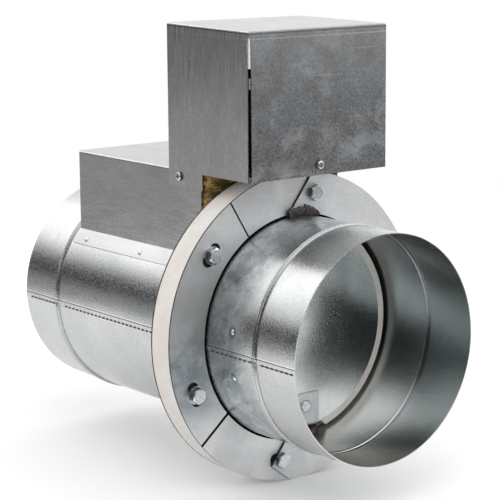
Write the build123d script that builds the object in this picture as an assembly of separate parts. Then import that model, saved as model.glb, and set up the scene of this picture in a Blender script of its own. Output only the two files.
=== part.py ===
from build123d import *
from math import acos, cos, degrees, radians, sin, sqrt
import os

# Round fire damper for a 200 mm duct, millimetres.
# The duct runs along +Y. The origin is the centre of the front spigot's mouth.
# +Z is up, towards the drive under its cover. +X is right, seen from the front.
# Angles on the flange are counted from +X towards +Z, as seen from the front.

# Ducts
duct_radius = 100.0
duct_sheet = 0.8
front_spigot = 52.0
rear_spigot = 55.0
front_duct_length = 119.25
rear_duct_length = 265.75
bead_width = 6.5
bead_height = 1.7
lip_width = 12.0
lip_bend = 1.5
seam_angle = 181.5
seam_width = 4.5
seam_height = 0.35

# Insulating ring with its seal, and the plates that clamp the ducts to it
ring_width = 39.0
ring_depth = 24.0
seal_width = 16.0
seal_depth = 2.0
clamp_sheet = 1.25
clamp_bend_gap = 0.5
wedge_steps = 6
wedge_reach = 1.3
overlay_sheet = 2.0
slit_upper_angle = 121.3
slit_lower_angle = 220.3
slit_right_angle = 350.8
slit_width = 1.6
wide_slit_width = 2.6
overlay_slope = 52.5
overlay_edge_inset = 30.5
overlay_corner_inset = 23.3
overlay_margin = 6.2

# Bolts through the ring
bolt_count = 6
bolt_from_lip = 4.0
bolt_angle = 20.8
bolt_diameter = 8.0
bolt_hole = 9.0
bolt_end_length = 3.0
head_width = 13.0
head_height = 5.3
head_chamfer = 0.6
head_cone_width = 3.0
head_cone_drop = 1.7
nut_height = 6.5
slot_length = 23.0
slot_width = 11.5
washer_radius = 8.0
large_washer_radius = 12.0
large_washer_sheet = 2.0
weld_radius = 4.5
weld_start_angle = 77.0
weld_end_angle = 97.0

# Blade, its hub brackets and its two shafts
blade_gap = 3.0
board_thickness = 44.0
skin_inset = 7.3
skin_sheet = 1.0
notch_half_width = 22.0
notch_depth = 8.2
notch_flare = 20.0
bracket_half_width = 16.0
bracket_sheet = 2.0
bracket_leg = 31.0
bracket_bend = 2.0
shaft_diameter = 12.0
shaft_reach = 30.0
shaft_stand = 21.5
shaft_chamfer = 1.0
cross_bolt_inset = 18.0
cross_bolt_diameter = 6.0
cross_head_radius = 5.3
cross_head_height = 2.6
cross_nut_width = 10.0
cross_nut_height = 5.0

# Bearings of the shafts and the mastic round them
bush_radius = 10.0
bush_flange_radius = 11.5
bush_shoulder = 0.2
bush_stand = 1.0
bush_cover = 10.0
bush_floor = 2.5
collar_radius = 27.0
collar_thickness = 5.7
collar_edge = 1.5

# Closing stop inside the front duct
stop_angle = 182.2
stop_half_angle = 17.0
stop_sheet = 1.5
stop_foot = 31.0
stop_reach = 15.0
stop_rivet_half_angle = 11.6
stop_rivet_from_blade = 25.2

# Wool-filled box on the rear duct
box_half_width = 75.5
box_above_ring = 2.6
box_sheet = 0.9
box_bend = 2.4
box_from_clamp = 11.0
box_length = 191.8
box_foot_width = 15.7
box_rivet_from_wall = 10.1
box_rivet_inset = 18.8
box_rivet_pitch = 87.6
box_end_flange = 10.0

# Rivets and small screws
rivet_radius = 1.6
rivet_head_radius = 2.6
rivet_head_height = 1.0
rivet_dome_radius = 4.2
rivet_tail = 1.5
rivet_drill_depth = 6.0
screw_radius = 2.1
screw_head_radius = 3.8
screw_head_height = 2.4
screw_head_edge = 1.4
screw_length = 8.0
recess_length = 4.4
recess_width = 0.9
recess_depth = 1.2

# Cover over the drive
cover_before_blade = 45.15
cover_depth = 115.2
cover_height = 126.0
cover_overlap = 2.0
cover_tab_drop = 16.2
cover_tab_depth = 48.8
cover_slit = 1.7
cover_slit_top = 5.0
cover_screw_rise = 5.4
cover_drill_depth = 12.0
tab_screw_drop = 6.7
tab_screw_from_rear = 15.9
grommet_from_side = 31.4
grommet_rise = 26.9
grommet_radius = 8.0
grommet_lip = 2.5
grommet_lip_depth = 2.0
grommet_skin = 0.5

# Plate that carries the drive
console_sheet = 1.5
console_side_gap = 5.5
console_flange_height = 16.0
console_flange_half_width = 30.0
console_screw_side_inset = 5.0
console_screw_inset = 9.0
console_rear_screw_inset = 4.5
console_rear_gap = 1.0
console_opening_radius = 9.5

# Drive: a spring-return actuator clamped on the upper shaft
drive_length = 102.0
drive_side_gap = 0.2
drive_half_width = 36.5
drive_height = 62.0
drive_lid_height = 20.0
drive_corner = 12.0
drive_edge = 3.0
drive_foot_edge = 1.5
drive_ear = 11.0
drive_ear_height = 6.0
drive_ear_half_width = 14.0
drive_screw_inset = 8.0
lid_screw_recess = 3.0
lid_screw_clear = 0.5
hub_radius = 15.0
hub_flange_radius = 22.0
hub_flange_height = 3.0
hub_boss_radius = 25.0
hub_boss_height = 2.0
anvil_width = 34.0
anvil_depth = 10.0
anvil_height = 11.0
anvil_offset = 3.0
clamp_wire = 5.0
clamp_leg = 24.0
clamp_nut_width = 8.0
clamp_nut_height = 4.0
pointer_length = 34.0
pointer_sheet = 1.2
pointer_drop = 3.0
pointer_rim = 4.0
pointer_nut_height = 4.0

# Thermal trip beside the drive, with its probe in the duct
trip_half_width = 26.0
trip_depth = 19.0
trip_height = 42.0
trip_offset = 34.0
trip_gap = 4.0
trip_edge = 2.5
trip_top_edge = 1.0
probe_socket = 8.0
probe_radius = 4.0
probe_reach = 28.0
button_radius = 5.0
button_travel = 2.5
button_stand = 4.5
button_seat = 9.0
button_edge = 1.0

# Clearances
seat_gap = 0.05
running_gap = 0.06
body_gap = 0.4
wool_gap = 0.3

# How far a cutting shape runs past the face that it cuts
overcut = 1.0

# Sizes across the duct, worked out from its radius
duct_bore = duct_radius - duct_sheet
lip_radius = duct_radius + lip_width
ring_radius = duct_radius + ring_width
bolt_circle = lip_radius + bolt_hole / 2 + bolt_from_lip
clamp_bore = duct_radius + lip_bend + clamp_bend_gap
overlay_upper_edge = overlay_edge_inset - duct_radius
overlay_corner = overlay_corner_inset - ring_radius
blade_radius = duct_bore - blade_gap
skin_radius = blade_radius - skin_inset
notch_floor = blade_radius - notch_depth
bracket_floor = notch_floor + bracket_sheet
shaft_root = notch_floor - shaft_reach
cross_bolt_height = notch_floor - cross_bolt_inset
lower_bush_depth = ring_radius - bush_cover
collar_height = duct_bore - collar_thickness
probe_tip = duct_radius - probe_reach

# Places along the duct, worked out from the front spigot's mouth
clamp_front = front_duct_length - clamp_sheet
overlay_front = clamp_front - overlay_sheet
ring_front = front_duct_length
ring_rear = ring_front + ring_depth
clamp_rear = ring_rear + clamp_sheet
rear_mouth = ring_rear + rear_duct_length
blade_y = ring_front + ring_depth / 2
skin_face = board_thickness / 2 + skin_sheet
bracket_face = skin_face + bracket_sheet
box_front = clamp_rear + box_from_clamp
box_rear = box_front + box_length
cover_front = blade_y - cover_before_blade
cover_rear = cover_front + cover_depth

# Sizes of the box, the cover and what they hold, worked out from the ring and the box
box_top = ring_radius + box_above_ring
foot_radius = duct_radius + seat_gap
wall_foot_angle = degrees(acos((box_half_width - box_sheet) / foot_radius))
foot_arc = degrees(box_foot_width / foot_radius)
box_rivet_angle = wall_foot_angle - degrees(box_rivet_from_wall / foot_radius)
console_half_width = box_half_width - console_side_gap
console_screw_x = console_half_width - console_screw_side_inset
drive_right = console_screw_x - screw_head_radius - drive_side_gap
drive_left = drive_length - drive_right
console_top = box_top + console_sheet
cover_half_width = box_half_width + box_sheet
cover_bottom = box_top - cover_overlap
cover_tab_bottom = box_top - cover_tab_drop
cover_top = cover_bottom + cover_height
cover_screw_height = console_top + cover_screw_rise
tab_screw_height = box_top - tab_screw_drop
grommet_x = grommet_from_side - cover_half_width
grommet_height = console_top + grommet_rise
drive_lid_bottom = console_top + drive_height - drive_lid_height
drive_top = console_top + drive_height
trip_front = blade_y + drive_half_width + trip_gap
trip_y = trip_front + trip_depth / 2
hub_top = drive_top + hub_boss_height + body_gap + hub_flange_height
shaft_top = hub_top + shaft_stand
clamp_centre = hub_top + anvil_height / 2

bolt_angles = [bolt_angle + step * 360 / bolt_count for step in range(bolt_count)]
left_bolt_angles = [angle for angle in bolt_angles if slit_upper_angle < angle < slit_lower_angle]


def polar(radius, angle):
    """Point in the front view, x to the right and z up."""
    return radius * cos(radians(angle)), radius * sin(radians(angle))


def disc(radius, y_start, y_end):
    """Solid disc round the duct's axis."""
    return Pos(0, (y_start + y_end) / 2, 0) * Rot(90, 0, 0) * Cylinder(radius, y_end - y_start)


def post(radius, z_start, z_end, x=0.0, y=0.0):
    """Upright cylinder."""
    return Pos(x, y, (z_start + z_end) / 2) * Cylinder(radius, z_end - z_start)


def rod(radius, y_start, y_end, x=0.0, z=0.0):
    """Cylinder that lies along the duct."""
    return Pos(x, 0, z) * disc(radius, y_start, y_end)


def block(x_start, x_end, y_start, y_end, z_start, z_end):
    """Box between two corners."""
    centre = Pos((x_start + x_end) / 2, (y_start + y_end) / 2, (z_start + z_end) / 2)
    return centre * Box(x_end - x_start, y_end - y_start, z_end - z_start)


def plate(outline, y_front, thickness):
    """Flat plate across the duct from an outline drawn in the front view."""
    return extrude(Plane.XZ.offset(-y_front - thickness) * outline, thickness)


def turned(points_face):
    """Turn a profile, drawn as radius and y, round the duct's axis."""
    return revolve(points_face, Axis.Y)


def hexagon_prism(flats, y_start, y_end):
    """Hexagon bar along the duct's axis."""
    outline = RegularPolygon(flats / sqrt(3), 6)
    return plate(outline, y_start, y_end - y_start)


def at_bolt(shape, angle):
    """Move a piece drawn on the duct's axis to a place on the bolt circle."""
    x, z = polar(bolt_circle, angle)
    return Pos(x, 0, z) * Rot(0, -angle, 0) * shape


def on_wall(shape, angle):
    """Turn a piece that is drawn standing out along +X to an angle round the duct."""
    return Rot(0, -angle, 0) * shape


def duct_profile(length, spigot):
    """Wall of a duct from its mouth at y = 0 to its turned-out lip, as radius and y."""
    bead_start = spigot - bead_width / 2
    bead_end = spigot + bead_width / 2
    bore_bend = lip_bend + duct_sheet
    outer = duct_radius
    inner = duct_bore
    outside = (
        Line((outer, 0), (outer, bead_start))
        + ThreePointArc((outer, bead_start), (outer + bead_height, spigot), (outer, bead_end))
        + Line((outer, bead_end), (outer, length - lip_bend))
        + RadiusArc((outer, length - lip_bend), (outer + lip_bend, length), lip_bend)
        + Line((outer + lip_bend, length), (lip_radius, length))
    )
    end = length + duct_sheet
    inside = (
        Line((lip_radius, length), (lip_radius, end))
        + Line((lip_radius, end), (inner + bore_bend, end))
        + RadiusArc((inner + bore_bend, end), (inner, end - bore_bend), -bore_bend)
        + Line((inner, end - bore_bend), (inner, bead_end))
        + ThreePointArc((inner, bead_end), (inner + bead_height, spigot), (inner, bead_start))
        + Line((inner, bead_start), (inner, 0))
        + Line((inner, 0), (outer, 0))
    )
    return make_face(outside + inside)


def seam_strip(y_start, y_end):
    """Raised lap where the rolled sheet's edges overlap."""
    arc = degrees(seam_width / duct_radius)
    middle = duct_radius - duct_sheet / 2
    face = make_face(Polyline(
        (middle, y_start),
        (duct_radius + seam_height, y_start),
        (duct_radius + seam_height, y_end),
        (middle, y_end),
        close=True,
    ))
    return on_wall(revolve(face, Axis.Y, arc), seam_angle - arc / 2)


def duct(length, spigot):
    """Spigoted duct with its stop bead, lapped seam and turned-out lip."""
    wall = turned(duct_profile(length, spigot))
    front_strip = seam_strip(0, spigot - bead_width / 2)
    back_strip = seam_strip(spigot + bead_width / 2, length - lip_bend)
    return wall + front_strip + back_strip


def rivet(grip):
    """Domed rivet drawn along +X, its head's seat at x = 0 and its shank towards -X."""
    dome = make_face(
        Line((0, 0), (rivet_head_height, 0))
        + RadiusArc((rivet_head_height, 0), (0, rivet_head_radius), -rivet_dome_radius)
        + Line((0, rivet_head_radius), (0, 0))
    )
    head = revolve(dome, Axis.X)
    shank = Pos(-grip / 2, 0, 0) * Rot(0, 90, 0) * Cylinder(rivet_radius, grip)
    return head + shank


def pan_screw():
    """Cross-recess screw along +Z, its head's seat at z = 0 and its shank below."""
    head = post(screw_head_radius, 0, screw_head_height)
    head = fillet(head.edges().group_by(Axis.Z)[-1], screw_head_edge)
    recess = block(-recess_length / 2, recess_length / 2, -recess_width / 2, recess_width / 2,
                   screw_head_height - recess_depth, screw_head_height + overcut)
    head = head - recess - Rot(0, 0, 90) * recess
    return head + post(screw_radius, -screw_length, 0)


def group(shapes):
    """Several separate solids kept as one node."""
    solids = []
    for shape in shapes:
        solids.extend(shape.solids())
    return Compound(children=solids)


# Front and rear duct

front_duct = duct(front_duct_length, front_spigot)
rear_duct = Pos(0, rear_mouth, 0) * mirror(duct(rear_duct_length, rear_spigot), about=Plane.XZ)


def stop_rivet_place(shape, side):
    """Put a rivet or its hole on the front duct over the closing stop."""
    rivet_y = blade_y - skin_face - stop_rivet_from_blade
    return on_wall(Pos(0, rivet_y, 0) * shape, stop_angle + side * stop_rivet_half_angle)


def box_rivet_places(shape):
    """Put rivets or their holes along both feet of the rear box."""
    placed = []
    for angle in (180 - box_rivet_angle, box_rivet_angle):
        for step in range(2):
            rivet_y = box_rear - box_rivet_inset - step * box_rivet_pitch
            placed.append(on_wall(Pos(0, rivet_y, 0) * shape, angle))
    return placed


rivet_drill = Rot(0, 90, 0) * Cylinder(rivet_radius + seat_gap, rivet_drill_depth)
rivet_drill = Pos(duct_radius, 0, 0) * rivet_drill
stop_rivet_grip = duct_sheet + stop_sheet + rivet_tail
stop_rivet_seat = duct_radius + seat_gap
stop_rivets = group([
    stop_rivet_place(Pos(stop_rivet_seat, 0, 0) * rivet(stop_rivet_grip), side) for side in (-1, 1)
])
for side in (-1, 1):
    front_duct = front_duct - stop_rivet_place(rivet_drill, side)

box_rivet_seat = foot_radius + box_sheet + seat_gap
box_rivet_grip = box_sheet + duct_sheet + rivet_tail
box_rivets = group(box_rivet_places(Pos(box_rivet_seat, 0, 0) * rivet(box_rivet_grip)))
for hole in box_rivet_places(rivet_drill):
    rear_duct = rear_duct - hole

# The probe of the thermal trip goes through the wall of the rear duct
probe_hole = post(probe_radius + seat_gap, probe_tip, console_top + overcut, trip_offset, trip_y)
rear_duct = rear_duct - probe_hole

# Insulating ring, with rebates for the ducts' lips and a groove for the swelling seal

insulating_ring = disc(ring_radius, ring_front, ring_rear) - disc(duct_bore, ring_front, ring_rear)
rebate_radius = lip_radius + 2 * seat_gap
insulating_ring -= disc(rebate_radius, ring_front, ring_front + duct_sheet + seat_gap)
insulating_ring -= disc(rebate_radius, ring_rear - duct_sheet - seat_gap, ring_rear)
seal_start = blade_y - seal_width / 2
seal_end = blade_y + seal_width / 2
insulating_ring -= disc(duct_bore + seal_depth, seal_start, seal_end)
for angle in bolt_angles:
    insulating_ring -= at_bolt(disc(bolt_hole / 2, ring_front - overcut, ring_rear + overcut), angle)

bush_hole = bush_radius + seat_gap
insulating_ring -= post(bush_hole, 0, ring_radius + overcut, 0, blade_y)
insulating_ring -= post(bush_hole, -lower_bush_depth - seat_gap, 0, 0, blade_y)

swelling_seal = disc(duct_bore + seal_depth - seat_gap, seal_start + seat_gap, seal_end - seat_gap)
swelling_seal -= disc(duct_bore + seat_gap, seal_start, seal_end)
swelling_seal -= post(bush_hole, -ring_radius, ring_radius, 0, blade_y)


# Clamp plates: three slotted segments on each side and an overlay plate in front

def wedge(start_angle, end_angle, reach):
    """Outline that covers the stretch from one angle to another."""
    turn = (end_angle - start_angle) / wedge_steps
    corners = [polar(reach, start_angle + step * turn) for step in range(wedge_steps + 1)]
    return make_face(Polyline((0, 0), *corners, close=True))


def slit(angle, width):
    """Outline of a straight slit along a radius."""
    middle = (clamp_bore + ring_radius) / 2
    x, z = polar(middle, angle)
    return Pos(x, z) * Rot(0, 0, angle) * Rectangle(ring_radius - clamp_bore + 4 * overcut, width)


def clamp_segment(start_angle, end_angle):
    """Outline of one clamp segment with a slot at each bolt."""
    outline = Circle(ring_radius) - Circle(clamp_bore)
    outline = outline & wedge(start_angle, end_angle, ring_radius * wedge_reach)
    outline = outline - slit(slit_upper_angle, slit_width)
    outline = outline - slit(slit_lower_angle, wide_slit_width)
    outline = outline - slit(slit_right_angle, slit_width)
    for angle in bolt_angles:
        x, z = polar(bolt_circle, angle)
        outline = outline - Pos(x, z) * Rot(0, 0, angle + 90) * SlotOverall(slot_length, slot_width)
    return outline


segment_angles = {
    "left": (slit_upper_angle, slit_lower_angle),
    "bottom": (slit_lower_angle, slit_right_angle),
    "top": (slit_right_angle - 360, slit_upper_angle),
}
front_clamps = {}
rear_clamps = {}
for side_name, (start_angle, end_angle) in segment_angles.items():
    segment = clamp_segment(start_angle, end_angle)
    front_clamps[side_name] = plate(segment, clamp_front, clamp_sheet)
    rear_clamps[side_name] = plate(segment, ring_rear, clamp_sheet)


def across(x, z):
    """Distance of a point from the duct's axis, square to the overlay's sloping edges."""
    return x * sin(radians(overlay_slope)) - z * cos(radians(overlay_slope))


def overlay_outline():
    """Outline of the overlay: a sheet with two parallel sloping edges and a square corner."""
    reach = 2 * ring_radius
    low_bolt = polar(bolt_circle, bolt_angle + 4 * 360 / bolt_count)
    lower_edge = across(*low_bolt) - overlay_margin
    upper_part = Pos(reach / 2, overlay_upper_edge + reach / 2) * Rectangle(reach, reach)
    lower_part = Pos(overlay_corner / 2, lower_edge + reach / 2) * Rectangle(-overlay_corner, reach)
    sheet = upper_part + lower_part
    # Drawn along the sloping edges, so it is flipped and turned into the front view
    sheet = Rot(0, 0, overlay_slope) * mirror(sheet, about=Plane.XZ)
    outline = (Circle(ring_radius) - Circle(clamp_bore)) & sheet
    for angle in bolt_angles:
        outline = outline - Pos(*polar(bolt_circle, angle)) * Circle(bolt_hole / 2)
    return outline


front_overlay = plate(overlay_outline(), overlay_front, overlay_sheet)

weld_seat = duct_radius + seam_height
weld_face = make_face(
    Line((weld_seat, overlay_front - seat_gap), (weld_seat, overlay_front - weld_radius))
    + RadiusArc((weld_seat, overlay_front - weld_radius),
                (weld_seat + weld_radius, overlay_front - seat_gap), weld_radius)
    + Line((weld_seat + weld_radius, overlay_front - seat_gap), (weld_seat, overlay_front - seat_gap))
)
weld_bead = on_wall(revolve(weld_face, Axis.Y, weld_end_angle - weld_start_angle), weld_end_angle)


# Bolts, washers and nuts of the ring

nut_face = clamp_rear + large_washer_sheet


def hex_bolt():
    """Bolt on the duct's axis with its head on the overlay plate."""
    head = hexagon_prism(head_width, overlay_front - head_height, overlay_front)
    cone_tip = head_width / 2 - head_chamfer
    rim = make_face(Polyline(
        (0, overlay_front - head_height),
        (cone_tip, overlay_front - head_height),
        (cone_tip + head_cone_width, overlay_front - head_height + head_cone_drop),
        (cone_tip + head_cone_width, overlay_front),
        (0, overlay_front),
        close=True,
    ))
    head = head & turned(rim)
    return head + disc(bolt_diameter / 2, overlay_front, nut_face + nut_height + bolt_end_length)


def washer(radius, hole, y_start, y_end):
    """Flat washer on the duct's axis."""
    return disc(radius, y_start, y_end) - disc(hole, y_start, y_end)


bolt_clear = bolt_diameter / 2 + seat_gap
flange_bolts = group([at_bolt(hex_bolt(), angle) for angle in bolt_angles])
head_washer = washer(washer_radius, bolt_clear, overlay_front + seat_gap, clamp_front - seat_gap)
head_washers = group([at_bolt(head_washer, angle) for angle in left_bolt_angles])
nut_washer = washer(large_washer_radius, bolt_clear, clamp_rear + seat_gap, nut_face - seat_gap)
nut_washers = group([at_bolt(nut_washer, angle) for angle in bolt_angles])
nut = hexagon_prism(head_width, nut_face, nut_face + nut_height)
nut = nut - disc(bolt_clear, nut_face, nut_face + nut_height)
flange_nuts = group([at_bolt(nut, angle) for angle in bolt_angles])


# Blade: an insulating board between two steel skins, notched for its hubs

def blade_outline(radius):
    """Disc with a flared notch at the top and the bottom."""
    notch = make_face(Polyline(
        (-notch_half_width, notch_floor),
        (notch_half_width, notch_floor),
        (notch_half_width + notch_flare, notch_floor + notch_flare),
        (-notch_half_width - notch_flare, notch_floor + notch_flare),
        close=True,
    ))
    return Circle(radius) - notch - Rot(0, 0, 180) * notch


board_front = blade_y - board_thickness / 2
board_rear = blade_y + board_thickness / 2
shaft_clear = shaft_diameter / 2 + seat_gap
cross_clear = cross_bolt_diameter / 2 + seat_gap

blade_core = plate(blade_outline(blade_radius), board_front, board_thickness)
blade_front_skin = plate(blade_outline(skin_radius), board_front - skin_sheet, skin_sheet)
blade_rear_skin = plate(blade_outline(skin_radius), board_rear, skin_sheet)


def hub_bracket():
    """Folded steel strap that wraps the bottom notch of the blade."""
    outer = Pos(0, -bracket_floor + bracket_leg / 2) * Rectangle(2 * bracket_face, bracket_leg)
    outer = fillet(outer.vertices().group_by(Axis.Y)[0], bracket_bend + bracket_sheet)
    opening = Pos(0, -notch_floor + bracket_leg / 2) * Rectangle(2 * skin_face, bracket_leg)
    opening = fillet(opening.vertices().group_by(Axis.Y)[0], bracket_bend)
    strap = extrude(Plane.YZ * (outer - opening), bracket_half_width, both=True)
    strap = Pos(0, blade_y, 0) * strap
    return strap - post(shaft_clear, -ring_radius, 0, 0, blade_y)


def mirrored_up(shape):
    """Same piece at the top of the blade."""
    return mirror(shape, about=Plane.XY)


lower_hub_bracket = hub_bracket()
upper_hub_bracket = mirrored_up(lower_hub_bracket)

# The folded strap has rounded corners, so the board and skins are eased where it wraps them
ease_side = (bracket_bend + seat_gap) * sqrt(2)
ease_bar = Rot(45, 0, 0) * Box(2 * bracket_half_width + overcut, ease_side, ease_side)
for height in (-notch_floor, notch_floor):
    for face_y in (blade_y - skin_face, blade_y + skin_face):
        ease = Pos(0, face_y, height) * ease_bar
        blade_core = blade_core - ease
        blade_front_skin = blade_front_skin - ease
        blade_rear_skin = blade_rear_skin - ease

lower_shaft_end = lower_bush_depth - bush_floor - body_gap
upper_shaft = post(shaft_diameter / 2, shaft_root, shaft_top, 0, blade_y)
lower_shaft = post(shaft_diameter / 2, -lower_shaft_end, -shaft_root, 0, blade_y)
upper_shaft = chamfer(upper_shaft.edges().group_by(Axis.Z)[-1], shaft_chamfer)
lower_shaft = chamfer(lower_shaft.edges().group_by(Axis.Z)[0], shaft_chamfer)

# Each shaft runs into a socket in the board, and one cross bolt goes through all of them
socket_end = shaft_root - seat_gap
head_seat = blade_y - bracket_face
nut_seat = blade_y + bracket_face
cross_end = nut_seat + cross_nut_height + bolt_end_length / 2
cross_bore = rod(cross_clear, head_seat - overcut, nut_seat + overcut, 0, cross_bolt_height)
blade_core -= post(shaft_clear, socket_end, blade_radius, 0, blade_y)
blade_core -= post(shaft_clear, -blade_radius, -socket_end, 0, blade_y)
for bore in (cross_bore, mirrored_up(cross_bore)):
    blade_core -= bore
    blade_front_skin -= bore
    blade_rear_skin -= bore
upper_shaft -= cross_bore
upper_hub_bracket -= cross_bore
lower_shaft -= mirrored_up(cross_bore)
lower_hub_bracket -= mirrored_up(cross_bore)

cross_head = disc(cross_head_radius, head_seat - cross_head_height, head_seat)
cross_head = fillet(cross_head.edges().group_by(Axis.Y)[0], cross_head_height / 2)
cross_bolt = cross_head + disc(cross_bolt_diameter / 2, head_seat, cross_end)
cross_nut = hexagon_prism(cross_nut_width, nut_seat, nut_seat + cross_nut_height)
cross_nut -= disc(cross_clear, nut_seat, nut_seat + cross_nut_height)
cross_heights = (-cross_bolt_height, cross_bolt_height)
hub_bolts = group([Pos(0, 0, height) * cross_bolt for height in cross_heights])
hub_nuts = group([Pos(0, 0, height) * cross_nut for height in cross_heights])

# Bushes in the ring, and the mastic collars that close the shaft holes

bush_bore = shaft_diameter / 2 + running_gap
bush_inner_end = duct_bore - bush_stand
bush_shoulder_height = ring_radius + bush_shoulder
upper_bush = post(bush_radius, bush_inner_end, bush_shoulder_height, 0, blade_y)
upper_bush += post(bush_flange_radius, bush_shoulder_height, box_top, 0, blade_y)
upper_bush -= post(bush_bore, bush_inner_end, box_top, 0, blade_y)
lower_bush = post(bush_radius, -lower_bush_depth, -bush_inner_end, 0, blade_y)
lower_bush -= post(bush_bore, -lower_bush_depth + bush_floor, -bush_inner_end, 0, blade_y)


def mastic_collar():
    """Pad of mastic on the bottom of the duct's bore round the shaft."""
    pad = post(collar_radius, -ring_radius, -collar_height, 0, blade_y)
    pad = fillet(pad.edges().group_by(Axis.Z)[-1], collar_edge)
    room = disc(duct_bore - seat_gap, blade_y - 2 * collar_radius, blade_y + 2 * collar_radius)
    return (pad & room) - post(bush_hole, -ring_radius, 0, 0, blade_y)


lower_mastic = mastic_collar()
upper_mastic = mirrored_up(lower_mastic)


# Closing stop: a curved foot riveted inside the duct and a leg that meets the blade's skin

stop_face = blade_y - skin_face - body_gap
stop_outer = duct_bore - seat_gap
stop_profile = make_face(Polyline(
    (stop_outer, stop_face - stop_foot),
    (stop_outer, stop_face),
    (duct_bore - stop_reach, stop_face),
    (duct_bore - stop_reach, stop_face - stop_sheet),
    (stop_outer - stop_sheet, stop_face - stop_sheet),
    (stop_outer - stop_sheet, stop_face - stop_foot),
    close=True,
))
closing_stop = on_wall(revolve(stop_profile, Axis.Y, 2 * stop_half_angle), stop_angle + stop_half_angle)
for side in (-1, 1):
    closing_stop = closing_stop - stop_rivet_place(rivet_drill, side)


# Rear box: a folded sheet saddle on the rear duct, its end plate and its wool

def folded_channel(half_width, top, y_start, y_end, sheet, bend):
    """Sheet folded down on both sides, open below and at both ends."""
    outside = block(-half_width, half_width, y_start, y_end, 0, top)
    outside = fillet(outside.edges().filter_by(Axis.Y).group_by(Axis.Z)[-1], bend)
    inside = block(-half_width + sheet, half_width - sheet, y_start - overcut, y_end + overcut,
                   -overcut, top - sheet)
    inside = fillet(inside.edges().filter_by(Axis.Y).group_by(Axis.Z)[-1], bend - sheet)
    return outside - inside


foot_face = make_face(Polyline(
    (foot_radius, box_front),
    (foot_radius + box_sheet, box_front),
    (foot_radius + box_sheet, box_rear),
    (foot_radius, box_rear),
    close=True,
))
right_foot = on_wall(revolve(foot_face, Axis.Y, foot_arc), wall_foot_angle)
rear_box = folded_channel(box_half_width, box_top, box_front, box_rear, box_sheet, box_bend)
rear_box = rear_box - disc(foot_radius, box_front - overcut, box_rear + overcut)
rear_box = rear_box + right_foot + mirror(right_foot, about=Plane.YZ)
for hole in box_rivet_places(rivet_drill):
    rear_box = rear_box - hole
rear_box = rear_box - probe_hole

end_half_width = box_half_width - box_sheet - seat_gap
end_top = box_top - box_sheet - seat_gap
end_front = box_rear - box_end_flange
end_outside = block(-end_half_width, end_half_width, end_front, box_rear, 0, end_top)
end_outside = fillet(end_outside.edges().filter_by(Axis.Y).group_by(Axis.Z)[-1], box_bend - box_sheet)
end_inside = block(-box_half_width, box_half_width, end_front - overcut, box_rear - box_sheet,
                   -overcut, end_top - box_sheet)
rear_box_end = end_outside - end_inside - disc(foot_radius, box_front, box_rear + overcut)

wool_half_width = end_half_width - wool_gap
wool_top = end_top - box_sheet - wool_gap
wool_front = clamp_rear + wool_gap
wool_rear = box_rear - box_sheet - wool_gap
wool_fill = block(-wool_half_width, wool_half_width, wool_front, wool_rear, 0, wool_top)
wool_fill -= disc(duct_radius + seam_height + wool_gap, wool_front - overcut, wool_rear + overcut)
wool_fill -= post(probe_radius + wool_gap, probe_tip, console_top, trip_offset, trip_y)
pocket_end = nut_face + nut_height + bolt_end_length + wool_gap
nut_pocket = disc(large_washer_radius + wool_gap, wool_front - overcut, pocket_end)
wool_fill -= at_bolt(nut_pocket, bolt_angles[1])


# Console plate, with its flange behind the cover's front

flange_back = cover_front + box_sheet + seat_gap
console_rear = cover_rear - box_sheet - console_rear_gap
console = block(-console_half_width, console_half_width, flange_back, console_rear, box_top, console_top)
console += block(-console_flange_half_width, console_flange_half_width, flange_back,
                 flange_back + console_sheet, box_top, console_top + console_flange_height)
console -= post(console_opening_radius, box_top - overcut, console_top + overcut, 0, blade_y)
console -= probe_hole
screw_hole = screw_radius + seat_gap
screw_tip = console_top - screw_length
console_screw_places = [
    (x, y)
    for x in (-console_screw_x, console_screw_x)
    for y in (box_front + console_screw_inset, console_rear - console_rear_screw_inset)
]
for x, y in console_screw_places:
    console = console - post(screw_hole, box_top - overcut, console_top + overcut, x, y)
    rear_box = rear_box - post(screw_hole, box_top - box_sheet - overcut, box_top + overcut, x, y)
    wool_fill = wool_fill - post(screw_hole + wool_gap, screw_tip - overcut, box_top, x, y)
    rear_box_end = rear_box_end - post(screw_hole, screw_tip, box_top, x, y)
console_screws = group([
    Pos(x, y, console_top + seat_gap) * pan_screw() for x, y in console_screw_places
])


# Drive: housing base and lid, hub, clamp, pointer and screws

def drive_slab(z_start, z_end, grow=0.0):
    """Rounded slab with the plan of the drive's housing."""
    length = drive_left + drive_right + 2 * grow
    width = 2 * (drive_half_width + grow)
    outline = RectangleRounded(length, width, drive_corner + grow)
    centre = Pos((drive_right - drive_left) / 2, blade_y, z_start)
    return centre * extrude(outline, z_end - z_start)


drive_base = drive_slab(console_top + seat_gap, drive_lid_bottom)
drive_base = chamfer(drive_base.edges().group_by(Axis.Z)[0], drive_foot_edge)
ear_top = console_top + drive_ear_height
drive_base += block(-drive_left - drive_ear, drive_right + drive_ear, blade_y - drive_ear_half_width,
                    blade_y + drive_ear_half_width, console_top + seat_gap, ear_top)
ear_places = [-drive_left - drive_ear / 2, drive_right + drive_ear / 2]
for x in ear_places:
    ear_hole = post(screw_hole, box_top - overcut, ear_top + overcut, x, blade_y)
    drive_base = drive_base - ear_hole
    console = console - ear_hole
drive_mount_screws = group([
    Pos(x, blade_y, ear_top + seat_gap) * pan_screw() for x in ear_places
])

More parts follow.
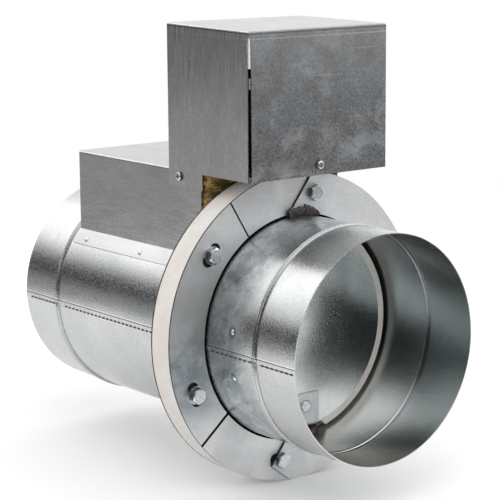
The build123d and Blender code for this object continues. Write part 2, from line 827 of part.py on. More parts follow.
drive_lid = drive_slab(drive_lid_bottom + seat_gap, drive_top)
drive_lid = fillet(drive_lid.edges().group_by(Axis.Z)[-1], drive_edge)
boss_top = drive_top + hub_boss_height
drive_lid += post(hub_boss_radius, drive_top - overcut, boss_top, 0, blade_y)
hub_bore = post(hub_radius + running_gap, console_top - overcut, boss_top + overcut, 0, blade_y)
drive_base -= hub_bore
drive_lid -= hub_bore
lid_screw_places = [
    (x, blade_y + side * (drive_half_width - drive_screw_inset))
    for x in (-drive_left + drive_screw_inset, drive_right - drive_screw_inset)
    for side in (-1, 1)
]
lid_screw_seat = drive_top - lid_screw_recess
lid_recess_radius = screw_head_radius + lid_screw_clear
for x, y in lid_screw_places:
    drive_lid = drive_lid - post(lid_recess_radius, lid_screw_seat, drive_top + overcut, x, y)
    drive_lid = drive_lid - post(screw_hole, drive_lid_bottom, drive_top, x, y)
drive_lid_screws = group([
    Pos(x, y, lid_screw_seat + seat_gap) * pan_screw() for x, y in lid_screw_places
])

hub_bottom = console_top + body_gap
drive_hub = post(hub_radius, hub_bottom, hub_top, 0, blade_y)
drive_hub += post(hub_flange_radius, hub_top - hub_flange_height, hub_top, 0, blade_y)
anvil_front = blade_y + anvil_offset
anvil_back = anvil_front + anvil_depth
anvil_top = hub_top + anvil_height
drive_hub += block(-anvil_width / 2, anvil_width / 2, anvil_front, anvil_back, hub_top, anvil_top)
drive_hub -= post(shaft_clear, hub_bottom, anvil_top, 0, blade_y)
clamp_arc = shaft_diameter / 2 + clamp_wire / 2 + seat_gap
wire_hole = clamp_wire / 2 + seat_gap
for side in (-1, 1):
    drive_hub -= rod(wire_hole, blade_y, anvil_back + overcut, side * clamp_arc, clamp_centre)

clamp_path = (
    Line((-clamp_arc, clamp_leg), (-clamp_arc, 0))
    + ThreePointArc((-clamp_arc, 0), (0, -clamp_arc), (clamp_arc, 0))
    + Line((clamp_arc, 0), (clamp_arc, clamp_leg))
)
clamp_section = Plane(origin=(-clamp_arc, clamp_leg, 0), z_dir=(0, -1, 0)) * Circle(clamp_wire / 2)
clamp_bolt = Pos(0, blade_y, clamp_centre) * sweep(clamp_section, path=clamp_path)
clamp_nut = hexagon_prism(clamp_nut_width, anvil_back, anvil_back + clamp_nut_height)
clamp_nut -= disc(wire_hole, anvil_back, anvil_back + clamp_nut_height)
clamp_nuts = group([Pos(side * clamp_arc, 0, clamp_centre) * clamp_nut for side in (-1, 1)])

pointer_bottom = shaft_top - pointer_drop
pointer_hub = shaft_diameter / 2 + pointer_rim
pointer_half_width = pointer_hub / 2
pointer_outline = Circle(pointer_hub) + make_face(Polyline(
    (0, -pointer_half_width),
    (pointer_length - pointer_hub, -pointer_half_width),
    (pointer_length, 0),
    (pointer_length - pointer_hub, pointer_half_width),
    (0, pointer_half_width),
    close=True,
))
position_pointer = Pos(0, blade_y, pointer_bottom) * extrude(pointer_outline, pointer_sheet)
position_pointer -= post(shaft_clear, pointer_bottom - overcut, shaft_top, 0, blade_y)
pointer_nut_bottom = pointer_bottom - pointer_nut_height
pointer_nut = post(pointer_hub, pointer_nut_bottom, pointer_bottom - seat_gap, 0, blade_y)
pointer_nut -= post(shaft_clear, pointer_nut_bottom - overcut, shaft_top, 0, blade_y)


# Thermal trip: housing, probe in the air stream and test button

trip_top = console_top + trip_height
trip_housing = block(trip_offset - trip_half_width, trip_offset + trip_half_width, trip_front,
                     trip_front + trip_depth, console_top + seat_gap, trip_top)
trip_housing = fillet(trip_housing.edges().filter_by(Axis.Z), trip_edge)
trip_housing = fillet(trip_housing.edges().group_by(Axis.Z)[-1], trip_top_edge)
probe_socket_top = console_top + probe_socket
trip_housing -= post(probe_radius + seat_gap, box_top, probe_socket_top, trip_offset, trip_y)
button_x = trip_offset - trip_half_width / 2
button_floor = trip_top - button_seat
trip_housing -= post(button_radius + running_gap, button_floor, trip_top + overcut, button_x, trip_y)
probe_ball = probe_tip + probe_radius
trip_probe = post(probe_radius, probe_ball, probe_socket_top - seat_gap, trip_offset, trip_y)
trip_probe += Pos(trip_offset, trip_y, probe_ball) * Sphere(probe_radius)
button_bottom = button_floor + button_travel + body_gap
test_button = post(button_radius, button_bottom, trip_top + button_stand, button_x, trip_y)
test_button = fillet(test_button.edges().group_by(Axis.Z)[-1], button_edge)


# Cover over the drive: a folded top with four flaps, slit at its corners

def cover_shell():
    """Folded cover with its side tabs, open below.

    Both flaps are cut back at the front left corner. At the other corners the slit is in one flap
    only, beside the flap that reaches the corner.
    """
    sheet = box_sheet
    outside = block(-cover_half_width, cover_half_width, cover_front, cover_rear,
                    cover_tab_bottom, cover_top)
    outside = fillet(outside.edges().group_by(Axis.Z)[-1], box_bend)
    inside = block(-cover_half_width + sheet, cover_half_width - sheet, cover_front + sheet,
                   cover_rear - sheet, cover_tab_bottom - overcut, cover_top - sheet)
    inside = fillet(inside.edges().group_by(Axis.Z)[-1], box_bend - sheet)
    shell = outside - inside
    slit_bottom = cover_tab_bottom - overcut
    slit_top = cover_top - cover_slit_top
    shell -= block(-cover_half_width - overcut, -cover_half_width + cover_slit, cover_front - overcut,
                   cover_front + cover_slit, slit_bottom, slit_top)
    inner_side = cover_half_width - sheet
    inner_front = cover_front + sheet
    shell -= block(inner_side - overcut, cover_half_width + overcut, inner_front,
                   inner_front + cover_slit, slit_bottom, slit_top)
    for side in (-1, 1):
        rear_slit = block(inner_side - cover_slit, inner_side, cover_rear - sheet - overcut,
                          cover_rear + overcut, slit_bottom, slit_top)
        shell -= rear_slit if side > 0 else mirror(rear_slit, about=Plane.YZ)
    tab_front = cover_rear - cover_tab_depth
    shell -= block(-cover_half_width - overcut, cover_half_width + overcut, cover_front - overcut,
                   tab_front, slit_bottom, cover_bottom)
    rear_gap = box_top + seat_gap
    shell -= block(-cover_half_width + sheet, cover_half_width - sheet, tab_front,
                   cover_rear + overcut, slit_bottom, rear_gap)
    return shell


drive_cover = cover_shell()
tab_screw_y = cover_rear - tab_screw_from_rear
cover_screw_places = [
    Pos(0, cover_front - seat_gap, cover_screw_height) * Rot(90, 0, 0),
    Pos(-cover_half_width - seat_gap, tab_screw_y, tab_screw_height) * Rot(0, -90, 0),
    Pos(cover_half_width + seat_gap, tab_screw_y, tab_screw_height) * Rot(0, 90, 0),
]
cover_screw_drill = Cylinder(screw_hole, cover_drill_depth)
wool_drill = Cylinder(screw_hole + wool_gap, 2 * (screw_length + overcut))
cover_screws = group([place * pan_screw() for place in cover_screw_places])
for place in cover_screw_places:
    drive_cover = drive_cover - place * cover_screw_drill
    console = console - place * cover_screw_drill
    rear_box = rear_box - place * cover_screw_drill
    wool_fill = wool_fill - place * wool_drill

# Rubber grommet for the cable: two lips with the cover's sheet between them, closed by a thin skin
grommet_inner_face = cover_rear - box_sheet - seat_gap
grommet_outer_face = cover_rear + seat_gap
lip_outline = grommet_radius + grommet_lip
cable_grommet = disc(lip_outline, grommet_inner_face - grommet_lip_depth, grommet_inner_face)
cable_grommet += disc(grommet_radius - seat_gap, grommet_inner_face, grommet_outer_face)
cable_grommet += disc(lip_outline, grommet_outer_face, grommet_outer_face + grommet_lip_depth)
cable_grommet -= disc(grommet_radius - grommet_lip, cover_rear - grommet_skin, rear_mouth)
grommet_place = Pos(grommet_x, 0, grommet_height)
cable_grommet = grommet_place * cable_grommet
grommet_hole = disc(grommet_radius, cover_rear - box_sheet - overcut, cover_rear + overcut)
drive_cover -= grommet_place * grommet_hole


nodes = {
    "front_duct": front_duct,
    "rear_duct": rear_duct,
    "insulating_ring": insulating_ring,
    "swelling_seal": swelling_seal,
    "front_clamp_left": front_clamps["left"],
    "front_clamp_top": front_clamps["top"],
    "front_clamp_bottom": front_clamps["bottom"],
    "front_overlay_plate": front_overlay,
    "rear_clamp_left": rear_clamps["left"],
    "rear_clamp_top": rear_clamps["top"],
    "rear_clamp_bottom": rear_clamps["bottom"],
    "weld_bead": weld_bead,
    "flange_bolts": flange_bolts,
    "head_washers": head_washers,
    "nut_washers": nut_washers,
    "flange_nuts": flange_nuts,
    "blade_core": blade_core,
    "blade_front_skin": blade_front_skin,
    "blade_rear_skin": blade_rear_skin,
    "upper_hub_bracket": upper_hub_bracket,
    "lower_hub_bracket": lower_hub_bracket,
    "hub_bolts": hub_bolts,
    "hub_nuts": hub_nuts,
    "upper_shaft": upper_shaft,
    "lower_shaft": lower_shaft,
    "upper_bush": upper_bush,
    "lower_bush": lower_bush,
    "upper_mastic": upper_mastic,
    "lower_mastic": lower_mastic,
    "closing_stop": closing_stop,
    "stop_rivets": stop_rivets,
    "rear_box": rear_box,
    "rear_box_end": rear_box_end,
    "box_rivets": box_rivets,
    "wool_fill": wool_fill,
    "console_plate": console,
    "console_screws": console_screws,
    "drive_base": drive_base,
    "drive_lid": drive_lid,
    "drive_lid_screws": drive_lid_screws,
    "drive_mount_screws": drive_mount_screws,
    "drive_hub": drive_hub,
    "clamp_bolt": clamp_bolt,
    "clamp_nuts": clamp_nuts,
    "position_pointer": position_pointer,
    "pointer_nut": pointer_nut,
    "trip_housing": trip_housing,
    "trip_probe": trip_probe,
    "test_button": test_button,
    "drive_cover": drive_cover,
    "cover_screws": cover_screws,
    "cable_grommet": cable_grommet,
}

os.makedirs("parts", exist_ok=True)
for name, shape in nodes.items():
    export_step(shape, f"parts/{name}.step")
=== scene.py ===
from math import atan2, cos, degrees, exp, floor, hypot, pi, radians, sin

import bmesh
import bpy
from bpy.props import FloatProperty, FloatVectorProperty, IntProperty, PointerProperty
from mathutils import Matrix, Vector, noise


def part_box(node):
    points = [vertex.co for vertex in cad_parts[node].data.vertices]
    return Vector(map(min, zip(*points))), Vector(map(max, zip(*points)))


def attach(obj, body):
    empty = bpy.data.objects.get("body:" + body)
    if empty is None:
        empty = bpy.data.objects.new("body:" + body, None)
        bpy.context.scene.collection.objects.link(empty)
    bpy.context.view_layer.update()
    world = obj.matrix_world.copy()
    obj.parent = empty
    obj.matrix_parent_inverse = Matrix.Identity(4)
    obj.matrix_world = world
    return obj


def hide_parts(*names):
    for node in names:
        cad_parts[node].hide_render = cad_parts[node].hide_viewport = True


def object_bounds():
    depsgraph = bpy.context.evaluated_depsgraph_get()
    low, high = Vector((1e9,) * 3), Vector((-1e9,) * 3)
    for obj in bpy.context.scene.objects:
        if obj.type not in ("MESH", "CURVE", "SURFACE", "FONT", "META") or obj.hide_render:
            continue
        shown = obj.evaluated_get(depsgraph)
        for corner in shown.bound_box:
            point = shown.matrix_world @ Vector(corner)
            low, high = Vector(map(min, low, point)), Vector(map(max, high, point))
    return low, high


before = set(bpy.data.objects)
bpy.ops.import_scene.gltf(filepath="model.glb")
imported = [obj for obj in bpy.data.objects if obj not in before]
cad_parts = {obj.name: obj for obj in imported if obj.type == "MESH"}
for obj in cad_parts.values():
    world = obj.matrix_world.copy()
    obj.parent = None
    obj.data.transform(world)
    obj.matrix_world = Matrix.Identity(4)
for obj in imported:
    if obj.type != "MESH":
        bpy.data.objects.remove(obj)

bl_info = {
    "name": "Round fire damper",
    "version": (1, 0, 0),
    "blender": (4, 5, 0),
    "location": "3D View > Sidebar > Damper",
    "description": "Dresses the packed model of a round duct fire damper and sets it on a plain studio stage",
    "category": "Object",
}

CAD_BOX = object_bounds()
COVER_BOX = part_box("drive_cover")
MM = 0.001
HOUSING = "housing"

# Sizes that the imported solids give, in metres and degrees; angles count from +X towards +Z
DUCT_RADIUS = 0.100
DUCT_SHEET = 0.0008
LIP_RADIUS = 0.112
LIP_BEND = 0.0015
SEAM_ANGLE = 181.5
SEAM_WIDTH = 0.0045
SEAM_HEIGHT = 0.00035
BEAD_WIDTH = 0.0065
BEAD_HEIGHT = 0.0017
FRONT_BEAD = 0.052
REAR_SPIGOT = 0.055
FRONT_LENGTH = 0.11925
REAR_LENGTH = 0.26575
RING_FRONT = FRONT_LENGTH
RING_DEPTH = 0.024
RING_REAR = RING_FRONT + RING_DEPTH
RING_RADIUS = 0.139
REAR_MOUTH = RING_REAR + REAR_LENGTH
REAR_BEAD = REAR_MOUTH - REAR_SPIGOT
COVER_SHEET = 0.0009
COVER_SLIT = 0.0017
OVERLAY_FRONT = 0.116
OVERLAY_SHEET = 0.002
OVERLAY_SLOPE = 52.5
BOLT_CIRCLE = 0.1205
BOLT_ANGLE = 20.8
BOLT_COUNT = 6

# Net of the duct's wall, with finer rows at the bead
FINE_ROW = 0.0003
WIDE_ROW = 0.0015
EVEN_COLUMNS = 150

# The bead's two ridges on a low dome, and how the bead is pressed flatter where it crosses the seam
RIDGE_OFFSET = 0.0014
RIDGE_WIDTH = 0.0009
DOME_SHARE = 0.38
SEAM_PINCH = 0.55
PINCH_WIDTH = 0.0026

# Half sizes of one scale of the weld, its lean, and its middle off the duct and ahead of the plate
SCALE_HALVES = (0.0042, 0.0038, 0.0012)
SCALE_LEAN = 24
SCALE_OUT = 0.0036
SCALE_AHEAD = 0.0010

# The weld's scales round the duct, and the hump that they swell to in its middle
WELD_FOOT = 0.1012
WELD_START = 78.2
WELD_SPAN = 18.4
WELD_MIDDLE = 87.0
WELD_HALF = 10.5

# Roller marks on the seam's lower edge
DASH_ANGLE = SEAM_ANGLE + degrees(0.0019 / DUCT_RADIUS)
DASH_DEPTH = 0.00028
DASH_WIDTH = 0.0016
RUST_LENGTH = 0.0014
RUST_WIDTH = 0.0010

# Thread of a flange bolt
THREAD_TURNS = 1.9
THREAD_PITCH = 0.00125
THREAD_CORE = 0.00395
THREAD_CREST = 0.0044

# Nets that the lumpy pieces are pushed about on, and one fibre of the wool
MASTIC_NET = 0.0012
WOOL_NET = 0.0022
FIBRE_RADIUS = 0.00016
FIBRE_BOW = 0.16

# The cover's open corner: its flaps, how far they are bent back, and where their cut ends show
SLIT_OPENING = 0.0007
FLAP_DEPTH = 0.0012
NEAR = 0.0002
CUT_SKIN = 0.0004
CUT_START = 0.0013
CORNER_REACH = 0.0030

# Bent tab in that corner
TAB_GAP = 0.0003
TAB_SHEET = 0.0008
TAB_REACH = 0.009

# The cover's crooked top: what counts as the top, and how far it rises, also to the back and the left
TOP_BAND = 0.004
TOP_LIFT = 0.0007
TOP_LIFT_BACK = 0.0016
TOP_LIFT_LEFT = 0.0009

# A face looks along an axis where its normal's share on that axis is over this
FACING = 0.7

# Place of the camera, fitted to the photo: its right, up and back directions and its spot
CAMERA_MATRIX = (
    (0.78457, 0.12112, -0.60809, -1.0195),
    (-0.61999, 0.14134, -0.77177, -1.1103),
    (-0.00753, 0.98252, 0.18598, 0.3717),
    (0.0, 0.0, 0.0, 1.0),
)
SENSOR_WIDTH = 36.0


def colour(name, description, default):
    """Setting that holds a colour."""
    return FloatVectorProperty(
        name=name, description=description, default=default, subtype="COLOR", min=0, max=1)


def length(name, description, default):
    """Setting that holds a length."""
    return FloatProperty(name=name, description=description, default=default, unit="LENGTH")


class DamperColours(bpy.types.PropertyGroup):
    """Colours of the finishes."""

    duct_zinc: colour("Duct zinc", "Galvanised sheet of the two ducts", (0.66, 0.67, 0.675))
    plate_zinc: colour("Clamp zinc", "Duller galvanised sheet of the clamp plates", (0.87, 0.88, 0.89))
    cover_zinc: colour("Cover zinc", "Brushed galvanised sheet of the drive's cover", (0.66, 0.655, 0.65))
    box_zinc: colour("Box zinc", "Brushed galvanised sheet of the rear box", (0.59, 0.59, 0.595))
    bolt_zinc: colour("Bolt zinc", "Bluish zinc plate of bolts, nuts and screws", (0.84, 0.875, 0.905))
    board: colour("Board", "Cream insulating board of the ring", (0.735, 0.715, 0.70))
    wool: colour("Wool", "Golden mineral wool in the rear box", (0.42, 0.26, 0.075))
    mastic: colour("Mastic", "Fire mastic round the shafts", (0.16, 0.13, 0.11))
    # On the ring's two faces this colour is darkened into painted shade
    rust: colour("Rust", "Rust on the seams and on the ring's two faces", (0.33, 0.13, 0.04))


class DamperSizes(bpy.types.PropertyGroup):
    """Sizes of the details that the looks add."""

    dash_pitch: length("Dash pitch", "Distance from one roller mark of the seam to the next", 0.0063)
    dash_length: length("Dash length", "Length of one roller mark of the seam", 0.0043)
    dent_depth: length("Dent depth", "How far the rolled sheet wanders from a true cylinder", 0.00010)
    fibre_count: IntProperty(
        name="Fibres", description="Loose fibres on the front of the wool", default=900, min=0)
    fibre_length: length("Fibre length", "Length of one loose fibre of the wool", 0.009)
    weld_scales: IntProperty(
        name="Weld scales", description="Overlapping scales of the weld bead", default=15, min=1)


class DamperStage(bpy.types.PropertyGroup):
    """Camera, floor and light."""

    lens: FloatProperty(
        name="Lens", description="Focal length of the camera on a 36 mm sensor", default=132.8)
    floor_colour: colour("Floor", "Colour of the plain floor", (0.87, 0.87, 0.87))
    floor_half_width: length("Floor half width", "Half of the table's width across the view", 1.02)
    floor_front: length("Floor front", "Reach of the table towards the camera", 0.34)
    floor_back: length("Floor back", "Reach of the table behind the object", 1.60)
    floor_glow: FloatProperty(
        name="Floor glow", description="Whiteness added to the floor where it is seen or mirrored",
        default=0.15)
    key_power: FloatProperty(
        name="Key lamp", description="Power of the soft lamp at the front left", default=7.0)
    fill_power: FloatProperty(
        name="Fill lamp", description="Power of the soft lamp at the front right", default=2.5)
    back_power: FloatProperty(
        name="Back lamp", description="Power of the soft lamp above and behind", default=4.0)


GROUPS = {"damper_colours": DamperColours, "damper_sizes": DamperSizes, "damper_stage": DamperStage}


# Small helpers for shader and geometry trees

def plug(tree, node, key, value):
    """Link a flow or a socket, or set a plain value, on the input with that name or number."""
    target = node.inputs[int(key)] if key.isdigit() else node.inputs[key]
    if isinstance(value, Flow):
        value = value.socket
    if isinstance(value, bpy.types.NodeSocket):
        tree.links.new(value, target)
    else:
        target.default_value = value


def add(tree, kind, settings=None, **inputs):
    """Add a node, set its own settings, and fill or link its inputs by name."""
    node = tree.nodes.new(kind)
    for key, value in (settings or {}).items():
        setattr(node, key, value)
    for key, value in inputs.items():
        plug(tree, node, key.replace("_", " "), value)
    return node


class Flow:
    """Number or colour that runs through a tree; a sum on it adds the node that works it out."""

    def __init__(self, tree, socket):
        self.tree, self.socket = tree, socket

    def sum(self, operation, *others, clamp=False):
        """One sum with other flows, sockets or plain numbers."""
        node = add(self.tree, "ShaderNodeMath", {"operation": operation, "use_clamp": clamp})
        for index, value in enumerate((self, *others)):
            plug(self.tree, node, str(index), value)
        return Flow(self.tree, node.outputs[0])

    def __add__(self, other):
        return self.sum("ADD", other)

    def __sub__(self, other):
        return self.sum("SUBTRACT", other)

    def __rsub__(self, other):
        return self * -1.0 + other

    def __mul__(self, other):
        return self.sum("MULTIPLY", other)

    def __abs__(self):
        return self.sum("ABSOLUTE")

    def spread(self, low, high, new_low=0.0, new_high=1.0, smooth=True):
        """This number mapped from one span to another, held at both ends."""
        node = add(self.tree, "ShaderNodeMapRange",
                   {"interpolation_type": "SMOOTHSTEP" if smooth else "LINEAR"},
                   Value=self, From_Min=low, From_Max=high, To_Min=new_low, To_Max=new_high)
        return Flow(self.tree, node.outputs["Result"])

    def between(self, first, second):
        """Colour between two others, with this number as the second one's share."""
        return mixed(self.tree, "MIX", self, first, second)

    def tint(self, number):
        """This colour times a number."""
        return mixed(self.tree, "MULTIPLY", 1.0, self, number)


def mixed(tree, mode, share, first, second):
    """Two colours mixed."""
    node = add(tree, "ShaderNodeMix", {"data_type": "RGBA", "blend_type": mode})
    plug(tree, node, "0", share)
    for key, value in (("6", first), ("7", second)):
        plug(tree, node, key, value if isinstance(value, Flow) else (*value[:3], 1.0))
    return Flow(tree, node.outputs[2])


def place(tree, scale=(1, 1, 1), turn=(0, 0, 0), shift=(0, 0, 0)):
    """Object coordinates, scaled and turned for one pattern."""
    source = add(tree, "ShaderNodeTexCoord").outputs["Object"]
    return add(tree, "ShaderNodeMapping", Vector=source, Scale=scale,
               Rotation=tuple(radians(angle) for angle in turn), Location=shift).outputs[0]


def stretched(tree, along, lengthwise, across):
    """Object coordinates for a pattern that is stretched along one axis (0, 1 or 2)."""
    scale = [across] * 3
    scale[along] = lengthwise
    return place(tree, scale=scale)


def clouds(tree, vector, scale, detail=3.0, rough=0.55, distortion=0.0):
    """Noise between about 0 and 1."""
    node = add(tree, "ShaderNodeTexNoise", Vector=vector, Scale=scale, Detail=detail,
               Roughness=rough, Distortion=distortion)
    return Flow(tree, node.outputs["Fac"])


def axis_of(tree, index):
    """One of the object's own coordinates."""
    source = add(tree, "ShaderNodeTexCoord").outputs["Object"]
    return Flow(tree, add(tree, "ShaderNodeSeparateXYZ", Vector=source).outputs[index])


def own_mark(tree, name):
    """Attribute that the piece's own mesh holds."""
    return Flow(tree, add(tree, "ShaderNodeAttribute", {"attribute_name": name}).outputs["Fac"])


def scratch_lines(tree, turn, along, across, edge, shift=(0, 0, 0)):
    """Thin lines of scratches: noise that is stretched along one direction."""
    vector = place(tree, scale=(along, across, across), turn=turn, shift=shift)
    return clouds(tree, vector, 1.0, detail=1.0, rough=0.4, distortion=0.3).spread(edge, edge + 0.05)


def crossed_scratches(tree, strength, first, second):
    """Two sets of scratches, each told by its values for scratch_lines."""
    lines = scratch_lines(tree, *first).sum("ADD", scratch_lines(tree, *second), clamp=True)
    return lines * strength


def shade(tone, factor):
    """Colour made darker or paler, up to white."""
    return [min(1.0, value * factor) for value in tone[:3]]


def clouded(flow, tone, factor, low=0.35, high=0.65):
    """Tone that darkens to a factor of itself where a pattern is low."""
    return flow.spread(low, high).between(shade(tone, factor), tone)


def weighted(tone, weights):
    """Colour with its red, green and blue each made darker."""
    return [value * weight for value, weight in zip(tone, weights)]


def new_finish(name, tone, metallic=0.0, roughness=0.5):
    """Material with its shader set to plain values."""
    material = bpy.data.materials.new(name)
    material.use_nodes = True
    tree = material.node_tree
    for key, value in (("Base Color", (*tone[:3], 1.0)), ("Metallic", metallic), ("Roughness", roughness)):
        plug(tree, tree.nodes["Principled BSDF"], key, value)
    return material, tree


def dress(material, base, *bumps, rough=None):
    """Feed a shader with its colour, roughness and bumps, each a height and a depth in metres."""
    tree = material.node_tree
    shader = tree.nodes["Principled BSDF"]
    plug(tree, shader, "Base Color", base)
    if rough is not None:
        plug(tree, shader, "Roughness", rough)
    target = shader
    for height, depth in reversed(bumps):
        bump = add(tree, "ShaderNodeBump", Strength=1.0, Distance=depth, Height=height)
        plug(tree, target, "Normal", bump.outputs[0])
        target = bump
    return material


# Finishes

def spangled_zinc(name, tone, roughness, speckle, patch=0.93, wobble=0.0010, scratches=0.30, pits=0.05,
                  duct=False, patina=False):
    """Rolled galvanised sheet: nearly even, with a fine grain, a slow wave and a few scratches."""
    material, tree = new_finish(name, tone, metallic=1.0)
    vector = place(tree)
    patches = clouds(tree, vector, 24.0, distortion=0.4)
    grain = clouds(tree, vector, 1050.0, detail=2.0, rough=0.6)
    base = clouded(patches, tone, patch, 0.36, 0.66)
    base = base.tint(grain.spread(0.3, 0.7, 1.0 - pits, 1.03))
    lines = crossed_scratches(tree, scratches, ((20, 35, 60), 18.0, 800.0, 0.70),
                              ((-40, 15, -25), 14.0, 700.0, 0.72, (0.3, 0.2, 0.5)))
    base = lines.between(base, shade(tone, 1.25))
    rough = grain.spread(0.3, 0.7, *roughness) + patches.spread(0.35, 0.7, 0.05, 0.0) + lines * 0.2
    if duct:
        base, rough = duct_marks(tree, vector, base, rough)
    # The left plate is darker towards its bottom, in blue-grey patches
    if patina:
        base = left_patina(tree, base)
    wave = clouds(tree, vector, 11.0, detail=1.0)
    return dress(material, base, (wave, wobble), (grain, speckle), rough=rough)


def left_patina(tree, base):
    """Dark blue-grey bloom on the lower half of the left clamp plate."""
    side, height = axis_of(tree, 0), axis_of(tree, 2)
    bloom = clouds(tree, place(tree, shift=(0.3, 0.2, 0.6)), 60.0, detail=5.0, rough=0.65)
    ragged = bloom * 0.030 - 0.015
    on_left = side.spread(-0.112, -0.080, 1.0, 0.0)
    share = on_left * abs(height + 0.030 + ragged).spread(0.012, 0.052, 1.0, 0.0)
    tone = bloom.spread(0.38, 0.62).between((0.24, 0.28, 0.30), (0.42, 0.46, 0.49))
    return (share * 0.85).between(base, tone)


def rivet_spots():
    """Middles of the two rivets of the closing stop, on the outside of the front duct."""
    points = [vert.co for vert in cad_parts["stop_rivets"].data.vertices]
    outer = [point for point in points if hypot(point.x, point.z) > DUCT_RADIUS]
    middle = sum(point.z for point in outer) / len(outer)
    groups = ([p for p in outer if p.z > middle], [p for p in outer if p.z <= middle])
    return [tuple(sum(point[axis] for point in group) / len(group) for axis in range(3)) for group in groups]


def duct_marks(tree, vector, base, rough):
    """Paler top as painted light, painted shade and reflection inside, handled stretch, painted shade at the
    beads, a painted highlight and a dark line at the seam, painted shade round the rivets and painted shadow
    at the ring.
    """
    side, along, height = (axis_of(tree, index) for index in range(3))
    inside = own_mark(tree, "inner")
    outside = 1.0 - inside
    from_bead = abs(along - FRONT_BEAD).sum("MINIMUM", abs(along - REAR_BEAD))
    # Painted light: the duct is paler towards its top and darker towards its foot
    base = base.tint(height.spread(-0.09, 0.09, 0.93, 1.15))
    # Painted shade and reflection: the inside is darker on the right and in the beads' grooves, and pale at
    # its foot
    inside_shade = side.spread(0.02, 0.080).between((0.50, 0.55, 0.55), (0.22, 0.25, 0.25))
    inside_shade = height.spread(-0.078, -0.022, 1.0, 0.0).between(inside_shade, (0.92, 0.94, 0.93))
    inside_shade = from_bead.spread(0.0014, 0.0030, 0.8, 0.0).between(inside_shade, (0.10, 0.115, 0.135))
    base = (inside * 0.85).between(base, inside_shade)
    # Smears from one bead to the ring
    handled = along.spread(FRONT_BEAD + 0.006, FRONT_BEAD + 0.030)
    handled = handled * along.spread(RING_FRONT, RING_FRONT + 0.002, 1.0, 0.0) * outside
    smears = clouds(tree, place(tree, shift=(0.1, 0.3, 0.2)), 48.0, detail=6.0, rough=0.72, distortion=0.3)
    tone = smears.spread(0.42, 0.62).between((0.42, 0.46, 0.48), (0.80, 0.83, 0.84))
    base = (handled * 0.75).between(base, tone)
    # Painted shade at both feet of each bead and in its groove
    bead_shade = abs(from_bead - BEAD_WIDTH / 2).spread(0.0003, 0.0008, 0.55, 0.0)
    bead_shade = bead_shade.sum("MAXIMUM", from_bead.spread(0.0003, 0.0007, 0.5, 0.0))
    base = (bead_shade * outside).between(base, (0.09, 0.095, 0.10))
    # Painted highlight above the seam's upper edge, and the dark line of the edge
    turn = (height * -1.0).sum("ARCTAN2", side * -1.0)
    offset = turn * DUCT_RADIUS - radians(SEAM_ANGLE - 180) * DUCT_RADIUS
    for shift, half, soft_half, strength, tone in (
            (SEAM_WIDTH / 2 + 0.0009, 0.00020, 0.00045, 0.7, (0.97, 0.98, 1.0)),
            (SEAM_WIDTH / 2, 0.00025, 0.00050, 0.85, (0.03, 0.03, 0.032))):
        line = abs(offset + shift).spread(half, soft_half, strength, 0.0)
        base = (line * outside).between(base, tone)
    # Painted shade: a dark ring round each rivet of the closing stop
    for spot in rivet_spots():
        apart = add(tree, "ShaderNodeVectorMath", {"operation": "DISTANCE"})
        plug(tree, apart, "0", vector)
        plug(tree, apart, "1", spot)
        rivet_shade = Flow(tree, apart.outputs["Value"]).spread(0.0026, 0.0062, 0.62, 0.0)
        base = rivet_shade.between(base, (0.08, 0.085, 0.09))
    # Painted shadow in the gap between the duct's lip and the ring, where the surface is also made rougher
    deep = along + clouds(tree, vector, 140.0) * 0.0024
    painted_shadow = (deep.spread(RING_FRONT - 0.0012, RING_FRONT - 0.0003)
            * deep.spread(RING_REAR + 0.0022, RING_REAR + 0.0027, 1.0, 0.0))
    rough = (rough + handled * 0.12) * inside.spread(0.0, 1.0, 1.0, 0.7)
    return painted_shadow.between(base, (0.018, 0.016, 0.014)), rough + painted_shadow * 0.6


def brushed_zinc(name, tone, along, mottle=0.0, folded=False):
    """Brushed sheet with its grain along one axis (0, 1 or 2), faint clouds and light scratches."""
    material, tree = new_finish(name, tone, metallic=1.0)
    vector = place(tree)
    grain = clouds(tree, stretched(tree, along, 28.0, 1100.0), 1.0, rough=0.65)
    cloudy = clouds(tree, stretched(tree, along, 14.0, 34.0), 1.0, detail=4.0, rough=0.6, distortion=0.5)
    base = clouded(cloudy, tone, 0.90)
    base = base.tint(grain.spread(0.3, 0.7, 0.94, 1.06))
    if mottle:
        spots = clouds(tree, vector, 480.0, detail=2.0)
        base = base.tint(spots.spread(0.35, 0.65, 1.0 - mottle, 1.0 + mottle))
    turn = ((0, 0, 80), (0, 75, 20), (60, 0, 10))[along]
    lines = crossed_scratches(tree, 0.30, (turn, 12.0, 520.0, 0.70),
                              ((35, 50, -30), 16.0, 640.0, 0.72, (0.7, 0.1, 0.4)))
    base = lines.between(base, shade(tone, 1.7))
    if folded:
        base = fold_lines(tree, base, tone)
    wave = clouds(tree, vector, 9.0, detail=1.0)
    return dress(material, base, (wave, 0.0006), (grain, 0.000015), rough=grain.spread(0.3, 0.7, 0.22, 0.34))


def fold_lines(tree, base, tone):
    """Painted shadow under the cover's folded top, a painted highlight on the fold, and a fine scratch below.
    """
    deep = own_mark(tree, "below_top") + clouds(tree, place(tree), 90.0) * 0.0008
    for middle, half, strength, line_tone in (
            (0.0024, 0.0010, 0.78, (0.10, 0.10, 0.11)),
            (0.0007, 0.0003, 0.30, (0.95, 0.95, 0.96)),
            (0.0074, 0.0004, 0.4, shade(tone, 1.5))):
        stripe = abs(deep - middle).spread(half * 0.6, half * 1.3, 1.0, 0.0)
        base = (stripe * strength).between(base, line_tone)
    return base


